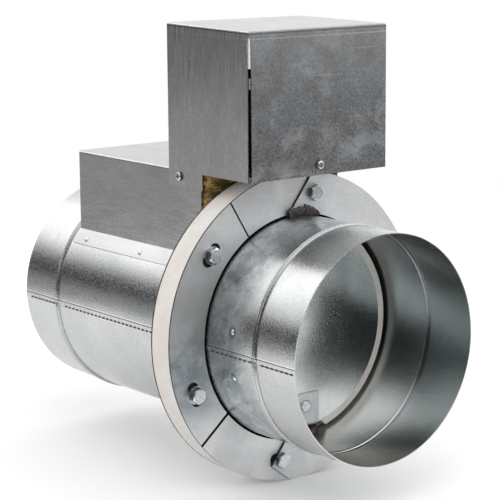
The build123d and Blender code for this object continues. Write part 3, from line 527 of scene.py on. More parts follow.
def fogged_zinc(name, tone):
    """Bluish sheet without a direction: fine speckle, mottled clouds and pale fogged spots."""
    material, tree = new_finish(name, tone, metallic=1.0)
    vector = place(tree)
    speckle = clouds(tree, vector, 900.0, detail=2.0, rough=0.6)
    mottle = clouds(tree, vector, 620.0, rough=0.7)
    soft = clouds(tree, vector, 30.0, detail=4.0, rough=0.6, distortion=0.8)
    fog = clouds(tree, place(tree, shift=(0.4, 0.1, 0.7)), 30.0, detail=6.0, rough=0.66, distortion=0.3)
    cool = weighted(tone, (0.64, 0.675, 0.72))
    warm = weighted(tone, (0.56, 0.565, 0.57))
    base = soft.spread(0.38, 0.62).between(warm, cool).tint(mottle.spread(0.3, 0.7, 0.85, 1.13))
    haze = fog.spread(0.46, 0.80) * speckle.spread(0.2, 0.8, 0.6, 1.3)
    base = (haze * 0.34).between(base, shade(cool, 1.5))
    lines = scratch_lines(tree, (30, 40, -20), 14.0, 640.0, 0.72) * 0.3
    base = fold_lines(tree, lines.between(base, shade(tone, 1.5)), tone)
    wave = clouds(tree, vector, 9.0, detail=1.0)
    return dress(material, base, (wave, 0.0006), (speckle, 0.00003),
                 rough=haze * 0.16 + speckle.spread(0.3, 0.7, 0.22, 0.32))


def insulating_board(name, tone, stained=False):
    """Pressed mineral board: chalky, with pores, faint clouds and, where told, painted shade with dark rust
    blotches on the ring's two faces under the plates.
    """
    material, tree = new_finish(name, tone, roughness=0.92)
    vector = place(tree)
    fine = clouds(tree, vector, 900.0, rough=0.7)
    soft = clouds(tree, vector, 45.0, detail=4.0, rough=0.6)
    pores = add(tree, "ShaderNodeTexVoronoi", {"feature": "F1"}, Vector=vector, Scale=520.0)
    pores = Flow(tree, pores.outputs["Distance"]).spread(0.06, 0.20)
    base = soft.spread(0.35, 0.70).between(weighted(tone, (0.93, 0.89, 0.84)), tone)
    base = base.tint(fine.spread(0.25, 0.75, 0.93, 1.05)).tint(pores.spread(0.0, 1.0, 0.80, 1.0))
    if stained:
        # Painted shade: the ring's two faces are near black, with dark rust blotches
        half = RING_DEPTH / 2
        from_middle = abs(axis_of(tree, 1) - (RING_FRONT + half)) + soft * 0.0009
        blotch = clouds(tree, vector, 150.0).spread(0.58, 0.80)
        blotched_shade = blotch.between((0.016, 0.014, 0.013), shade(chosen("rust"), 0.25))
        base = from_middle.spread(half - 0.0002, half + 0.0003).between(base, blotched_shade)
    return dress(material, base, (soft, 0.0006), (fine * 0.6 + pores, 0.00012))


def plated(name, tone, roughness=(0.20, 0.34), dim=1.0):
    """Bright plated fastener: slight clouds and fine handling marks."""
    tone = shade(tone, dim)
    material, tree = new_finish(name, tone, metallic=1.0)
    vector = place(tree)
    soft = clouds(tree, vector, 260.0)
    fine = clouds(tree, vector, 1500.0, detail=2.0)
    base = clouded(soft, tone, 0.8)
    return dress(material, base, (soft, 0.00016), (fine, 0.00003), rough=fine.spread(0.3, 0.7, *roughness))


def drawn_bar(name, tone):
    """Drawn or turned steel with fine lines along an upright axis."""
    material, tree = new_finish(name, tone, metallic=1.0)
    lines = clouds(tree, stretched(tree, 2, 40.0, 1600.0), 1.0, detail=2.0)
    base = clouded(lines, tone, 0.8, 0.3, 0.7)
    return dress(material, base, (lines, 0.00003), rough=lines.spread(0.3, 0.7, 0.28, 0.44))


def rough_lump(name, tone, second, scale, depth, roughness=0.85, rippled=False):
    """Lumpy two-coloured surface, such as mastic, scale or rust; where told, rippled as a weld with a painted
    highlight on each crest and painted shade between the ripples.
    """
    material, tree = new_finish(name, tone, roughness=roughness)
    lumps = clouds(tree, place(tree), scale, detail=5.0, rough=0.65, distortion=0.3)
    base = lumps.spread(0.36, 0.64).between(tone, second)
    if rippled:
        off_crest = own_mark(tree, "off_crest")
        # Painted highlight on the ripples' crests, and painted shade between them
        crest_highlight = off_crest.spread(0.15, 0.60, 1.0, 0.0) * lumps.spread(0.30, 0.60, 0.3, 1.0)
        base = crest_highlight.between(base, (0.25, 0.235, 0.23))
        base = off_crest.spread(0.60, 0.92).between(base, (0.006, 0.005, 0.005))
    return dress(material, base, (lumps, depth))


def layered_wool(name, tone):
    """Mineral wool in flat layers, with painted shade in the gaps between them."""
    material, tree = new_finish(name, tone, roughness=1.0)
    layers = clouds(tree, stretched(tree, 2, 420.0, 60.0), 1.0, detail=5.0, rough=0.7, distortion=0.6)
    fine = clouds(tree, stretched(tree, 2, 1500.0, 500.0), 1.0, rough=0.7)
    # Painted shade in the gaps between the layers
    base = layers.spread(0.42, 0.70).between(shade(tone, 0.22), shade(tone, 1.5))
    base = base.tint(fine.spread(0.3, 0.7, 0.65, 1.2))
    return dress(material, base, (layers, 0.0014), (fine, 0.0004))


def moulded(name, tone, roughness=0.5):
    """Moulded plastic or rubber with a fine eroded texture."""
    material, tree = new_finish(name, tone, roughness=roughness)
    vector = place(tree)
    fine = clouds(tree, vector, 1400.0, detail=2.0)
    base = clouded(clouds(tree, vector, 60.0), tone, 0.88)
    return dress(material, base, (fine, 0.00005),
                 rough=fine.spread(0.3, 0.7, roughness - 0.06, roughness + 0.08))


# Maker of each finish, its colour or the name of its colour setting, and its other values
RECIPES = {
    "duct_zinc": (spangled_zinc, "duct_zinc", {
        "roughness": (0.05, 0.29), "speckle": 0.00012, "pits": 0.28, "duct": True}),
    "blade_zinc": (spangled_zinc, (0.74, 0.775, 0.77), {
        "roughness": (0.16, 0.24), "speckle": 0.00004, "patch": 0.82, "wobble": 0.0006, "scratches": 0.08}),
    "clamp_zinc": (spangled_zinc, "plate_zinc", {
        "roughness": (0.42, 0.52), "speckle": 0.00009, "patch": 0.86, "wobble": 0.0014, "scratches": 0.5,
        "pits": 0.16, "patina": True}),
    "cover_zinc": (brushed_zinc, "cover_zinc", {"along": 2, "mottle": 0.07, "folded": True}),
    "box_zinc": (brushed_zinc, "box_zinc", {"along": 1}),
    "fogged_zinc": (fogged_zinc, "cover_zinc", {}),
    "ring_board": (insulating_board, "board", {"stained": True}),
    # Painted light: the blade's board is paler than the ring's, to make up for the shade inside the duct
    "blade_board": (insulating_board, (0.93, 0.905, 0.87), {}),
    "bolt_zinc": (plated, "bolt_zinc", {}),
    # Painted shade: a dimmer copy of the bolt zinc for the flats of the bolts' heads
    "bolt_flank": (plated, "bolt_zinc", {"dim": 0.42}),
    "bush_bronze": (plated, (0.55, 0.36, 0.17), {"roughness": (0.38, 0.52)}),
    "shaft_steel": (drawn_bar, (0.50, 0.50, 0.52), {}),
    "seal_graphite": (rough_lump, (0.38, 0.355, 0.33), {
        "second": (0.52, 0.485, 0.45), "scale": 700.0, "depth": 0.0001}),
    "mastic": (rough_lump, "mastic", {"second": (0.045, 0.036, 0.032), "scale": 170.0, "depth": 0.0012}),
    "weld": (rough_lump, (0.022, 0.019, 0.018), {
        "second": (0.075, 0.064, 0.058), "scale": 520.0, "depth": 0.0005, "roughness": 0.55,
        "rippled": True}),
    # Painted highlight: a pale non-metal finish for the tab at the cover's open corner
    "bare_fold": (rough_lump, (0.78, 0.785, 0.80), {
        "second": (0.95, 0.95, 0.96), "scale": 300.0, "depth": 0.00005, "roughness": 0.4}),
    # Painted shade: near black for the plates' edges and slot walls, the cover's cut ends and the screws'
    # walls
    "cut_edge": (rough_lump, (0.020, 0.018, 0.017), {
        "second": (0.075, 0.060, 0.050), "scale": 320.0, "depth": 0.0001}),
    "dark_oxide": (rough_lump, (0.035, 0.033, 0.032), {
        "second": (0.085, 0.075, 0.07), "scale": 600.0, "depth": 0.0001}),
    "rust": (rough_lump, "rust", {"second": (0.10, 0.045, 0.02), "scale": 900.0, "depth": 0.0001}),
    "wool": (layered_wool, "wool", {}),
    "drive_plastic": (moulded, (0.022, 0.022, 0.024), {}),
    "lid_plastic": (moulded, (0.085, 0.088, 0.092), {}),
    "pointer_plastic": (moulded, (0.55, 0.025, 0.018), {"roughness": 0.3}),
    "button_plastic": (moulded, (0.55, 0.025, 0.018), {"roughness": 0.3}),
    "grommet_rubber": (moulded, (0.014, 0.014, 0.014), {"roughness": 0.65}),
}
FINISHES = {}


def chosen(tone):
    """Plain colour, or the colour of the setting with that name."""
    return getattr(bpy.context.scene.damper_colours, tone)[:3] if isinstance(tone, str) else tone


def finish(key):
    """Material of one finish, made when it is first asked for."""
    if key not in FINISHES:
        maker, tone, values = RECIPES[key]
        FINISHES[key] = maker(key, chosen(tone), **values)
    return FINISHES[key]


# Pieces

def coat(piece, *keys):
    """Give an object one or more finishes in place of those that it has."""
    piece.data.materials.clear()
    for key in keys:
        piece.data.materials.append(finish(key))


def paint(node, key):
    """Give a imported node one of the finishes."""
    coat(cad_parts[node], key)


def ride_as(piece, body, slot, *nodes):
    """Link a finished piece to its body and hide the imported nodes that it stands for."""
    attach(piece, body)
    if nodes:
        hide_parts(*nodes)


def keep(piece, body, slot, key, *nodes):
    """Give a piece one finish and link it to its body."""
    coat(piece, key)
    ride_as(piece, body, slot, *nodes)


def link(name, data):
    """Object for a mesh, a lamp or a camera, in the scene."""
    piece = bpy.data.objects.new(name, data)
    bpy.context.scene.collection.objects.link(piece)
    return piece


def shaped(name, shape):
    """Object in the scene with the mesh of a bmesh."""
    mesh = bpy.data.meshes.new(name)
    shape.to_mesh(mesh)
    shape.free()
    return link(name, mesh)


def smooth(piece):
    """Shade all faces smoothly."""
    for face in piece.data.polygons:
        face.use_smooth = True


def mesh_piece(name, build, *values, smooth_angle=35):
    """Object whose mesh is filled by a build function, which gets a bmesh and the values."""
    shape = bmesh.new()
    build(shape, *values)
    bmesh.ops.remove_doubles(shape, verts=shape.verts, dist=1e-7)
    bmesh.ops.recalc_face_normals(shape, faces=shape.faces)
    piece = shaped(name, shape)
    smooth(piece)
    piece.data.set_sharp_from_angle(angle=radians(smooth_angle))
    return piece


def loft(shape, rings, ends=True):
    """Faces between rings that have as many points each, closed at both ends where told."""
    for first, second in zip(rings, rings[1:]):
        for index in range(len(first)):
            after = (index + 1) % len(first)
            shape.faces.new((first[index], first[after], second[after], second[index]))
    if ends:
        shape.faces.new(rings[0])
        shape.faces.new(list(reversed(rings[-1])))


def settle(piece, name):
    """Turn a piece with live modifiers into a plain mesh piece."""
    bpy.context.view_layer.update()
    graph = bpy.context.evaluated_depsgraph_get()
    mesh = bpy.data.meshes.new_from_object(piece.evaluated_get(graph), depsgraph=graph)
    mesh.name = name
    result = link(name, mesh)
    bpy.data.objects.remove(piece)
    return result


def faced_copy(node, name, keys, choose, move=None):
    """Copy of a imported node, with a finish chosen for each face and its points moved where told."""
    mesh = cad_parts[node].data.copy()
    mesh.name = name
    piece = link(name, mesh)
    picks = [choose(face.normal, face.center) for face in mesh.polygons]
    if move is not None:
        for vert in mesh.vertices:
            vert.co = move(vert.co)
    coat(piece, *keys)
    for face, pick in zip(mesh.polygons, picks):
        face.material_index = pick
    return piece


def voxelled(node, name, voxel):
    """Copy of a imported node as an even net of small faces, ready to be pushed about."""
    shape = bmesh.new()
    shape.from_mesh(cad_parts[node].data)
    bmesh.ops.remove_doubles(shape, verts=shape.verts, dist=1e-6)
    piece = shaped(name, shape)
    remesh = piece.modifiers.new("Remesh", "REMESH")
    remesh.mode = "VOXEL"
    remesh.voxel_size = voxel
    return settle(piece, name)


# Geometry trees

NUMBER = "NodeSocketFloat"
WHOLE = "NodeSocketInt"


def new_tree(name, **kinds):
    """Geometry tree with named inputs, a material last; gives the tree, its input and its output node."""
    tree = bpy.data.node_groups.new(name, "GeometryNodeTree")
    tree.interface.new_socket("Geometry", in_out="OUTPUT", socket_type="NodeSocketGeometry")
    tree.interface.new_socket("Geometry", in_out="INPUT", socket_type="NodeSocketGeometry")
    for label, kind in kinds.items():
        tree.interface.new_socket(label.replace("_", " "), in_out="INPUT", socket_type=kind)
    tree.interface.new_socket("Material", in_out="INPUT", socket_type="NodeSocketMaterial")
    return tree, tree.nodes.new("NodeGroupInput"), tree.nodes.new("NodeGroupOutput")


def copies_on(tree, start, ends, points, shape, **inputs):
    """End a tree: a shape on each point, Realize Instances and Set Material."""
    copies = add(tree, "GeometryNodeInstanceOnPoints", Points=points, Instance=shape, **inputs)
    real = add(tree, "GeometryNodeRealizeInstances", Geometry=copies.outputs[0])
    painted = add(tree, "GeometryNodeSetMaterial", Geometry=real.outputs[0],
                  Material=start.outputs["Material"])
    tree.links.new(painted.outputs[0], ends.inputs[0])
    return tree


def random_size(tree, low, high, seed):
    """Random number for each point."""
    node = add(tree, "FunctionNodeRandomValue", {"data_type": "FLOAT"}, Seed=seed)
    plug(tree, node, "2", low)
    plug(tree, node, "3", high)
    return node.outputs[1]


def run_tree(host, tree, values, name):
    """Run a tree on a host object with its inputs set by name; gives a plain mesh piece."""
    modifier = host.modifiers.new(tree.name, "NODES")
    modifier.node_group = tree
    for item in tree.interface.items_tree:
        if item.item_type == "SOCKET" and item.in_out == "INPUT" and item.name in values:
            modifier[item.identifier] = values[item.name]
    return settle(host, name)


def row_tree():
    """Tree that repeats the host's shape in a row along the duct."""
    tree, start, ends = new_tree("row_along_duct", Count=WHOLE, Pitch=NUMBER)
    step = add(tree, "ShaderNodeCombineXYZ", Y=start.outputs["Pitch"])
    line = add(tree, "GeometryNodeMeshLine", Count=start.outputs["Count"], Offset=step.outputs[0])
    return copies_on(tree, start, ends, line.outputs[0], start.outputs["Geometry"])


def round_tree():
    """Tree that repeats the host's shape round the duct's axis, each copy with a slightly different size."""
    tree, start, ends = new_tree("round_duct", Count=WHOLE, First_angle=NUMBER, Step_angle=NUMBER,
                                 Unevenness=NUMBER, Seed=WHOLE)
    points = add(tree, "GeometryNodePoints", Count=start.outputs["Count"])
    index = Flow(tree, add(tree, "GeometryNodeInputIndex").outputs[0])
    turn = index.sum("MULTIPLY_ADD", start.outputs["Step angle"], start.outputs["First angle"])
    rotation = add(tree, "ShaderNodeCombineXYZ", Y=turn * -1.0)
    uneven = Flow(tree, start.outputs["Unevenness"])
    # Only the stretch round the duct varies, so every copy keeps its radius
    size = random_size(tree, 1.0 - uneven, uneven + 1.0, start.outputs["Seed"])
    scale = add(tree, "ShaderNodeCombineXYZ", X=1.0, Y=1.0, Z=size)
    return copies_on(tree, start, ends, points.outputs[0], start.outputs["Geometry"],
                     Rotation=rotation.outputs[0], Scale=scale.outputs[0])


def fibre_tree(fibre):
    """Tree that strews bent fibres over the host's faces."""
    tree, start, ends = new_tree("strewn_fibres", Density=NUMBER, Seed=WHOLE)
    points = add(tree, "GeometryNodeDistributePointsOnFaces", Mesh=start.outputs["Geometry"],
                 Density=start.outputs["Density"], Seed=start.outputs["Seed"])
    spin = add(tree, "FunctionNodeRandomValue", {"data_type": "FLOAT_VECTOR"}, Seed=7)
    plug(tree, spin, "0", (-0.5, -0.35, -3.14))
    plug(tree, spin, "1", (0.5, 0.35, 3.14))
    turned = add(tree, "FunctionNodeRotateRotation", {"rotation_space": "LOCAL"})
    plug(tree, turned, "0", points.outputs["Rotation"])
    plug(tree, turned, "1", spin.outputs[0])
    shape = add(tree, "GeometryNodeObjectInfo", Object=fibre).outputs["Geometry"]
    return copies_on(tree, start, ends, points.outputs[0], shape, Rotation=turned.outputs[0],
                     Scale=random_size(tree, 0.4, 1.0, 11))


# Ducts

def polar(radius, angle, y=0.0):
    """Point round the duct; the angle counts from +X towards +Z."""
    return Vector((radius * cos(radians(angle)), y, radius * sin(radians(angle))))


def bead_rise(distance):
    """Height of the rolled bead at a distance from its middle: two ridges with a groove between them."""
    if abs(distance) >= BEAD_WIDTH / 2:
        return 0.0
    share = distance / (BEAD_WIDTH / 2)
    off_ridge = (abs(distance) - RIDGE_OFFSET) / RIDGE_WIDTH
    dome = DOME_SHARE * (1.0 - share ** 2)
    return BEAD_HEIGHT * (dome + (1.0 - DOME_SHARE) * exp(-off_ridge ** 2))


def lap_rise(angle):
    """Height of the lapped seam, on the outside only."""
    offset = abs(radians(angle - SEAM_ANGLE) * DUCT_RADIUS)
    return SEAM_HEIGHT * min(1.0, max(0.0, (SEAM_WIDTH / 2 + 0.0001 - offset) / 0.00015))


def seam_angles():
    """Angles of the duct's columns: close together at the seam, even elsewhere."""
    close = [-4.2, -3.2, -2.6, -2.25, -2.1, -1.6, -1.0, -0.4, 0.2, 0.8, 1.4, 2.1, 2.25, 2.6, 3.2, 4.2]
    columns = [SEAM_ANGLE + degrees(offset * MM / DUCT_RADIUS) for offset in close]
    first = columns[-1]
    span = 360 - (columns[-1] - columns[0])
    return columns + [first + span * step / EVEN_COLUMNS for step in range(1, EVEN_COLUMNS)]


def lip_bend(start, radius, reach, steps):
    """Rows of the lip's bend, from a start radius, for some of its steps of 15 degrees."""
    return [(start + radius * (1 - cos(step * pi / 12)), reach + radius * sin(step * pi / 12), 0.0)
            for step in steps]


def duct_rows(length, spigot):
    """Rows of the outside, then of the lip and the bore: radius, distance from the mouth, bead's rise."""
    bend_start = length - LIP_BEND
    steps = [0.0]
    reach = 0.0
    while reach < bend_start - 0.001:
        near_bead = abs(reach - spigot) < BEAD_WIDTH / 2 + 0.001
        reach += FINE_ROW if near_bead else WIDE_ROW
        steps.append(min(reach, bend_start))
    bore = DUCT_RADIUS - DUCT_SHEET
    outside = [(DUCT_RADIUS, step, bead_rise(step - spigot)) for step in steps]
    rest = lip_bend(DUCT_RADIUS, LIP_BEND, bend_start, range(1, 7))
    rest += [(LIP_RADIUS, length, 0.0), (LIP_RADIUS, length + DUCT_SHEET, 0.0)]
    rest += lip_bend(bore, LIP_BEND + DUCT_SHEET, bend_start, range(6, -1, -1))
    rest += [(bore, step, bead_rise(step - spigot)) for step in reversed(steps)]
    return outside, rest


def build_duct(shape, mouth, direction, length, spigot, dent):
    """Rolled duct with its bead, lapped seam, turned-out lip and slightly uneven wall."""
    outside, rest = duct_rows(length, spigot)
    columns = seam_angles()
    rings = []
    for (radius, reach, rise), lap in [(row, 1) for row in outside] + [(row, 0) for row in rest]:
        ring = []
        y = mouth + direction * reach
        ease = min(1.0, max(0.0, (length - reach) / 0.03))
        for angle in columns:
            offset = radians(angle - SEAM_ANGLE) * DUCT_RADIUS
            pinch = 1.0 - SEAM_PINCH * exp(-(offset / PINCH_WIDTH) ** 2)
            spot = polar(DUCT_RADIUS, angle, y)
            wander = dent * ease * 2.0 * (noise.noise(spot * 16.0) + 0.5 * noise.noise(spot * 38.0))
            own = radius + rise * pinch + wander + lap * lap_rise(angle)
            ring.append(shape.verts.new(polar(own, angle, y)))
        rings.append(ring)
    loft(shape, rings + rings[:1], ends=False)


def seam_dash(shape, length, width, y):
    """One roller mark: a thin bar with rounded ends on the seam's lower edge."""
    middle = DUCT_RADIUS + SEAM_HEIGHT
    rings = [[], []]
    for end, first in ((1, -90), (-1, 90)):
        for step in range(5):
            turn = radians(first + 45 * step)
            along = y + end * (length - width) / 2 + width / 2 * cos(turn)
            angle = DASH_ANGLE + degrees(width / 2 * sin(turn) / middle)
            for ring, depth in zip(rings, (DASH_DEPTH, -DASH_DEPTH)):
                ring.append(shape.verts.new(polar(middle + depth, angle, along)))
    loft(shape, rings)


def seam_marks(name, start, count, key, length, width):
    """Row of roller marks, or of rust spots between them, from one place along the seam."""
    pitch = bpy.context.scene.damper_sizes.dash_pitch
    host = mesh_piece(name + "_one", seam_dash, length, width, start)
    values = {"Count": count, "Pitch": pitch, "Material": finish(key)}
    keep(run_tree(host, row_tree(), values, name), HOUSING, "duct_zinc", key)


def mark_inside(piece):
    """Own attribute that is 1 on the wall that faces the duct's axis."""
    inner = piece.data.attributes.new("inner", "FLOAT", "POINT")
    for vert, spot in zip(piece.data.vertices, inner.data):
        spot.value = 1.0 if vert.normal.x * vert.co.x + vert.normal.z * vert.co.z < 0 else 0.0


class DAMPER_OT_ducts(bpy.types.Operator):
    """Front and rear duct with rolled beads, lapped seams and roller marks"""

    bl_idname = "damper.ducts"
    bl_label = "Ducts"

    def execute(self, context):
        sizes = context.scene.damper_sizes
        for side, *values in (("front", 0.0, 1.0, FRONT_LENGTH, FRONT_BEAD),
                              ("rear", REAR_MOUTH, -1.0, REAR_LENGTH, REAR_SPIGOT)):
            duct = mesh_piece(side + "_duct_sheet", build_duct, *values, sizes.dent_depth, smooth_angle=28)
            mark_inside(duct)
            keep(duct, HOUSING, "duct_zinc", "duct_zinc", side + "_duct")
        half = BEAD_WIDTH / 2
        stretches = {
            "front_rim": (0.0036, FRONT_BEAD - half),
            "front_back": (FRONT_BEAD + half + 0.003, FRONT_LENGTH - 0.004),
            "rear_front": (RING_REAR + 0.006, REAR_BEAD - half),
            "rear_rim": (REAR_BEAD + half + 0.003, REAR_MOUTH - 0.003),
        }
        for label, (start, stop) in stretches.items():
            count = int((stop - start) / sizes.dash_pitch)
            seam_marks("seam_marks_" + label, start, count, "dark_oxide", sizes.dash_length, DASH_WIDTH)
            if label.endswith("rim"):
                seam_marks("seam_rust_" + label, start + sizes.dash_pitch / 2, max(1, count - 1), "rust",
                           RUST_LENGTH, RUST_WIDTH)
        return {"FINISHED"}


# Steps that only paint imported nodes

class PaintStep:
    """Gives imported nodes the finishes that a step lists."""

    finishes = {}

    def execute(self, context):
        for key, nodes in self.finishes.items():
            for node in nodes:
                paint(node, key)
        return {"FINISHED"}


class DAMPER_OT_insulating_ring(PaintStep, bpy.types.Operator):
    """Insulating ring between the ducts, with its swelling seal"""

    bl_idname = "damper.insulating_ring"
    bl_label = "Insulating ring"
    finishes = {"ring_board": ("insulating_ring",), "seal_graphite": ("swelling_seal",)}


class DAMPER_OT_blade(PaintStep, bpy.types.Operator):
    """Insulated blade with its skins, hub brackets, cross bolts and shafts"""

    bl_idname = "damper.blade"
    bl_label = "Blade"
    finishes = {
        "blade_board": ("blade_core",), "blade_zinc": ("blade_front_skin", "blade_rear_skin"),
        "clamp_zinc": ("upper_hub_bracket", "lower_hub_bracket"), "bolt_zinc": ("hub_bolts", "hub_nuts"),
        "shaft_steel": ("upper_shaft", "lower_shaft"),
    }


class DAMPER_OT_closing_stop(PaintStep, bpy.types.Operator):
    """Closing stop inside the front duct, with its rivets"""

    bl_idname = "damper.closing_stop"
    bl_label = "Closing stop"
    finishes = {"clamp_zinc": ("closing_stop",), "bolt_zinc": ("stop_rivets",)}


class DAMPER_OT_rear_box(PaintStep, bpy.types.Operator):
    """Folded box on the rear duct with its end plate and rivets"""

    bl_idname = "damper.rear_box"
    bl_label = "Rear box"
    finishes = {"box_zinc": ("rear_box", "rear_box_end"), "bolt_zinc": ("box_rivets",)}


class DAMPER_OT_drive(PaintStep, bpy.types.Operator):
    """Drive, its console, hub clamp, pointer and thermal trip"""

    bl_idname = "damper.drive"
    bl_label = "Drive"
    finishes = {
        "clamp_zinc": ("console_plate",),
        "bolt_zinc": ("console_screws", "drive_lid_screws", "drive_mount_screws", "clamp_bolt",
                      "clamp_nuts", "pointer_nut"),
        "drive_plastic": ("drive_base", "trip_housing"), "lid_plastic": ("drive_lid",),
        "shaft_steel": ("drive_hub", "trip_probe"), "pointer_plastic": ("position_pointer",),
        "button_plastic": ("test_button",),
    }


# Clamp plates, weld, bolts and bearings

def is_edge(normal, _):
    """1 for the cut edges of a plate that lies across the duct, 0 for its two faces."""
    return 1 if abs(normal.y) < FACING else 0


def under_overlay(point):
    """Squeeze the overlay to a thin film on the clamp plates that peeps out along its sloping edges as a
    painted shadow line.
    """
    slope = radians(OVERLAY_SLOPE)
    peep = Vector((-sin(slope), 0.0, cos(slope))) * 0.0009
    share = (point.y - OVERLAY_FRONT) / OVERLAY_SHEET
    moved = Vector((point.x, OVERLAY_FRONT + OVERLAY_SHEET - 0.0003 + 0.0002 * share, point.z)) + peep
    radius = hypot(moved.x, moved.z)
    held = min(max(radius, DUCT_RADIUS + 0.0021), RING_RADIUS - 0.0002)
    return Vector((moved.x * held / radius, moved.y, moved.z * held / radius))


class DAMPER_OT_clamp_plates(bpy.types.Operator):
    """Slotted clamp segments on both sides of the ring and the overlay plate"""

    bl_idname = "damper.clamp_plates"
    bl_label = "Clamp plates"

    def execute(self, context):
        names = [f"{side}_clamp_{part}" for side in ("front", "rear") for part in ("left", "top", "bottom")]
        for node in names + ["front_overlay_plate"]:
            # Each plate's cut edges and slot walls get painted shade
            piece = faced_copy(node, node + "_sheet", ("clamp_zinc", "cut_edge"), is_edge)
            ride_as(piece, HOUSING, "clamp_zinc", node)
        # Painted shadow: a thin dark film on the clamp plates along the overlay's sloping edges
        painted_shadow = faced_copy("front_overlay_plate", "overlay_edge_dirt", ("cut_edge",), lambda *_: 0,
                          under_overlay)
        ride_as(painted_shadow, HOUSING, "clamp_zinc")
        return {"FINISHED"}


def weld_scale(shape):
    """One scale of the weld, at the angle 0: a flattened dome in the corner of plate and duct."""
    bmesh.ops.create_uvsphere(shape, u_segments=14, v_segments=9, radius=1.0)
    lean = Matrix.Rotation(radians(SCALE_LEAN), 4, "X")
    centre = Vector((DUCT_RADIUS + SCALE_OUT, OVERLAY_FRONT - SCALE_AHEAD, 0.0))
    for vert in shape.verts:
        lump = 1.0 + 0.16 * noise.noise(vert.co * 2.3)
        vert.co = lean @ (vert.co * Vector(SCALE_HALVES) * lump) + centre


class DAMPER_OT_weld(bpy.types.Operator):
    """Weld bead between the overlay plate and the front duct"""

    bl_idname = "damper.weld"
    bl_label = "Weld"

    def execute(self, context):
        scales = context.scene.damper_sizes.weld_scales
        values = {
            "Count": scales, "First angle": radians(WELD_START), "Step angle": radians(WELD_SPAN / scales),
            "Unevenness": 0.03, "Seed": 3, "Material": finish("weld"),
        }
        piece = run_tree(mesh_piece("weld_scale", weld_scale), round_tree(), values, "weld_scales")
        off_crest = piece.data.attributes.new("off_crest", "FLOAT", "POINT")
        for vert, spot in zip(piece.data.vertices, off_crest.data):
            turn = degrees(atan2(vert.co.z, vert.co.x))
            from_middle = min(1.0, abs(turn - WELD_MIDDLE) / WELD_HALF)
            count = (turn - WELD_START) * scales / WELD_SPAN
            ripple = floor(count + 0.5)
            spot.value = abs(count - ripple) * 2.0
            uneven = 0.45 * noise.noise(Vector((ripple * 0.77, 0.5, 4.0)))
            swell = 0.26 + 0.94 * (1.0 - from_middle ** 2) + uneven
            radius = hypot(vert.co.x, vert.co.z)
            held = WELD_FOOT + (radius - WELD_FOOT) * max(0.25, swell)
            vert.co.x *= held / radius
            vert.co.z *= held / radius
            shift = noise.noise(vert.co * 900.0) * 0.0007 + noise.noise(vert.co * 260.0) * 0.0010
            outwards = Vector((vert.co.x, 0.0, vert.co.z)).normalized()
            vert.co += outwards * shift + Vector((0.0, 0.4 * shift, 0.0))
        keep(piece, HOUSING, "weld", "weld", "weld_bead")
        return {"FINISHED"}


def bolt_thread(shape):
    """Thread on the end of a flange bolt, on the bolt circle at the angle 0."""
    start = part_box("flange_nuts")[1].y + 0.00005
    sides = 20
    rings = []
    for row in range(int(THREAD_TURNS * sides) + 1):
        turn = 2 * pi * row / sides
        y = start + THREAD_PITCH * row / sides
        rings.append([
            shape.verts.new((cos(turn) * radius + BOLT_CIRCLE, y + part * THREAD_PITCH, sin(turn) * radius))
            for part, radius in ((0.0, THREAD_CORE), (0.35, THREAD_CREST), (0.5, THREAD_CREST),
                                 (0.85, THREAD_CORE))])
    loft(shape, rings)


def bolt_flank(normal, centre):
    """1 for the flats round a bolt's head, which get painted shade, 0 for its face, its chamfer and its
    shank.
    """
    return 1 if abs(normal.y) < 0.3 and centre.y < OVERLAY_FRONT else 0


class DAMPER_OT_flange_bolts(bpy.types.Operator):
    """Six bolts through the ring with their washers, nuts and thread ends"""

    bl_idname = "damper.flange_bolts"
    bl_label = "Flange bolts"

    def execute(self, context):
        for node in ("flange_nuts", "head_washers", "nut_washers"):
            paint(node, "bolt_zinc")
        bolts = faced_copy("flange_bolts", "flange_bolts_plated", ("bolt_zinc", "bolt_flank"), bolt_flank)
        ride_as(bolts, HOUSING, "bolt_zinc", "flange_bolts")
        values = {
            "Count": BOLT_COUNT, "First angle": radians(BOLT_ANGLE), "Step angle": 2 * pi / BOLT_COUNT,
            "Unevenness": 0.0, "Seed": 0, "Material": finish("bolt_zinc"),
        }
        piece = run_tree(mesh_piece("thread_one", bolt_thread), round_tree(), values, "flange_bolt_threads")
        keep(piece, HOUSING, "bolt_zinc", "bolt_zinc")
        return {"FINISHED"}


class DAMPER_OT_bearings(bpy.types.Operator):
    """Bushes of the shafts and the rough mastic round them"""

    bl_idname = "damper.bearings"
    bl_label = "Bearings and mastic"

    def execute(self, context):
        for end in ("upper", "lower"):
            paint(end + "_bush", "bush_bronze")
            node = end + "_mastic"
            piece = voxelled(node, node + "_rough", MASTIC_NET)
            normals = [vert.normal.copy() for vert in piece.data.vertices]
            for vert, normal in zip(piece.data.vertices, normals):
                lump = noise.fractal(vert.co * 150.0, 0.9, 2.1, 4)
                facing = Vector((vert.co.x, 0.0, vert.co.z)).normalized()
                inwards = max(0.0, -normal.dot(facing))
                vert.co += normal * lump * 0.0012 * (0.25 + inwards)
            smooth(piece)
            keep(piece, HOUSING, "mastic", "mastic", node)
        return {"FINISHED"}


# Wool

def one_fibre(shape, length):
    """Bent thin fibre with a three-sided section."""
    rings = []
    for step in range(6):
        share = step / 5
        bow = sin(share * pi) * length * FIBRE_BOW
        middle = Vector((share * length - length / 2, bow * 0.5, bow))
        rings.append([shape.verts.new(middle + Vector((0, cos(turn), sin(turn))) * FIBRE_RADIUS)
                      for turn in (0, 2 * pi / 3, 4 * pi / 3)])
    loft(shape, rings)


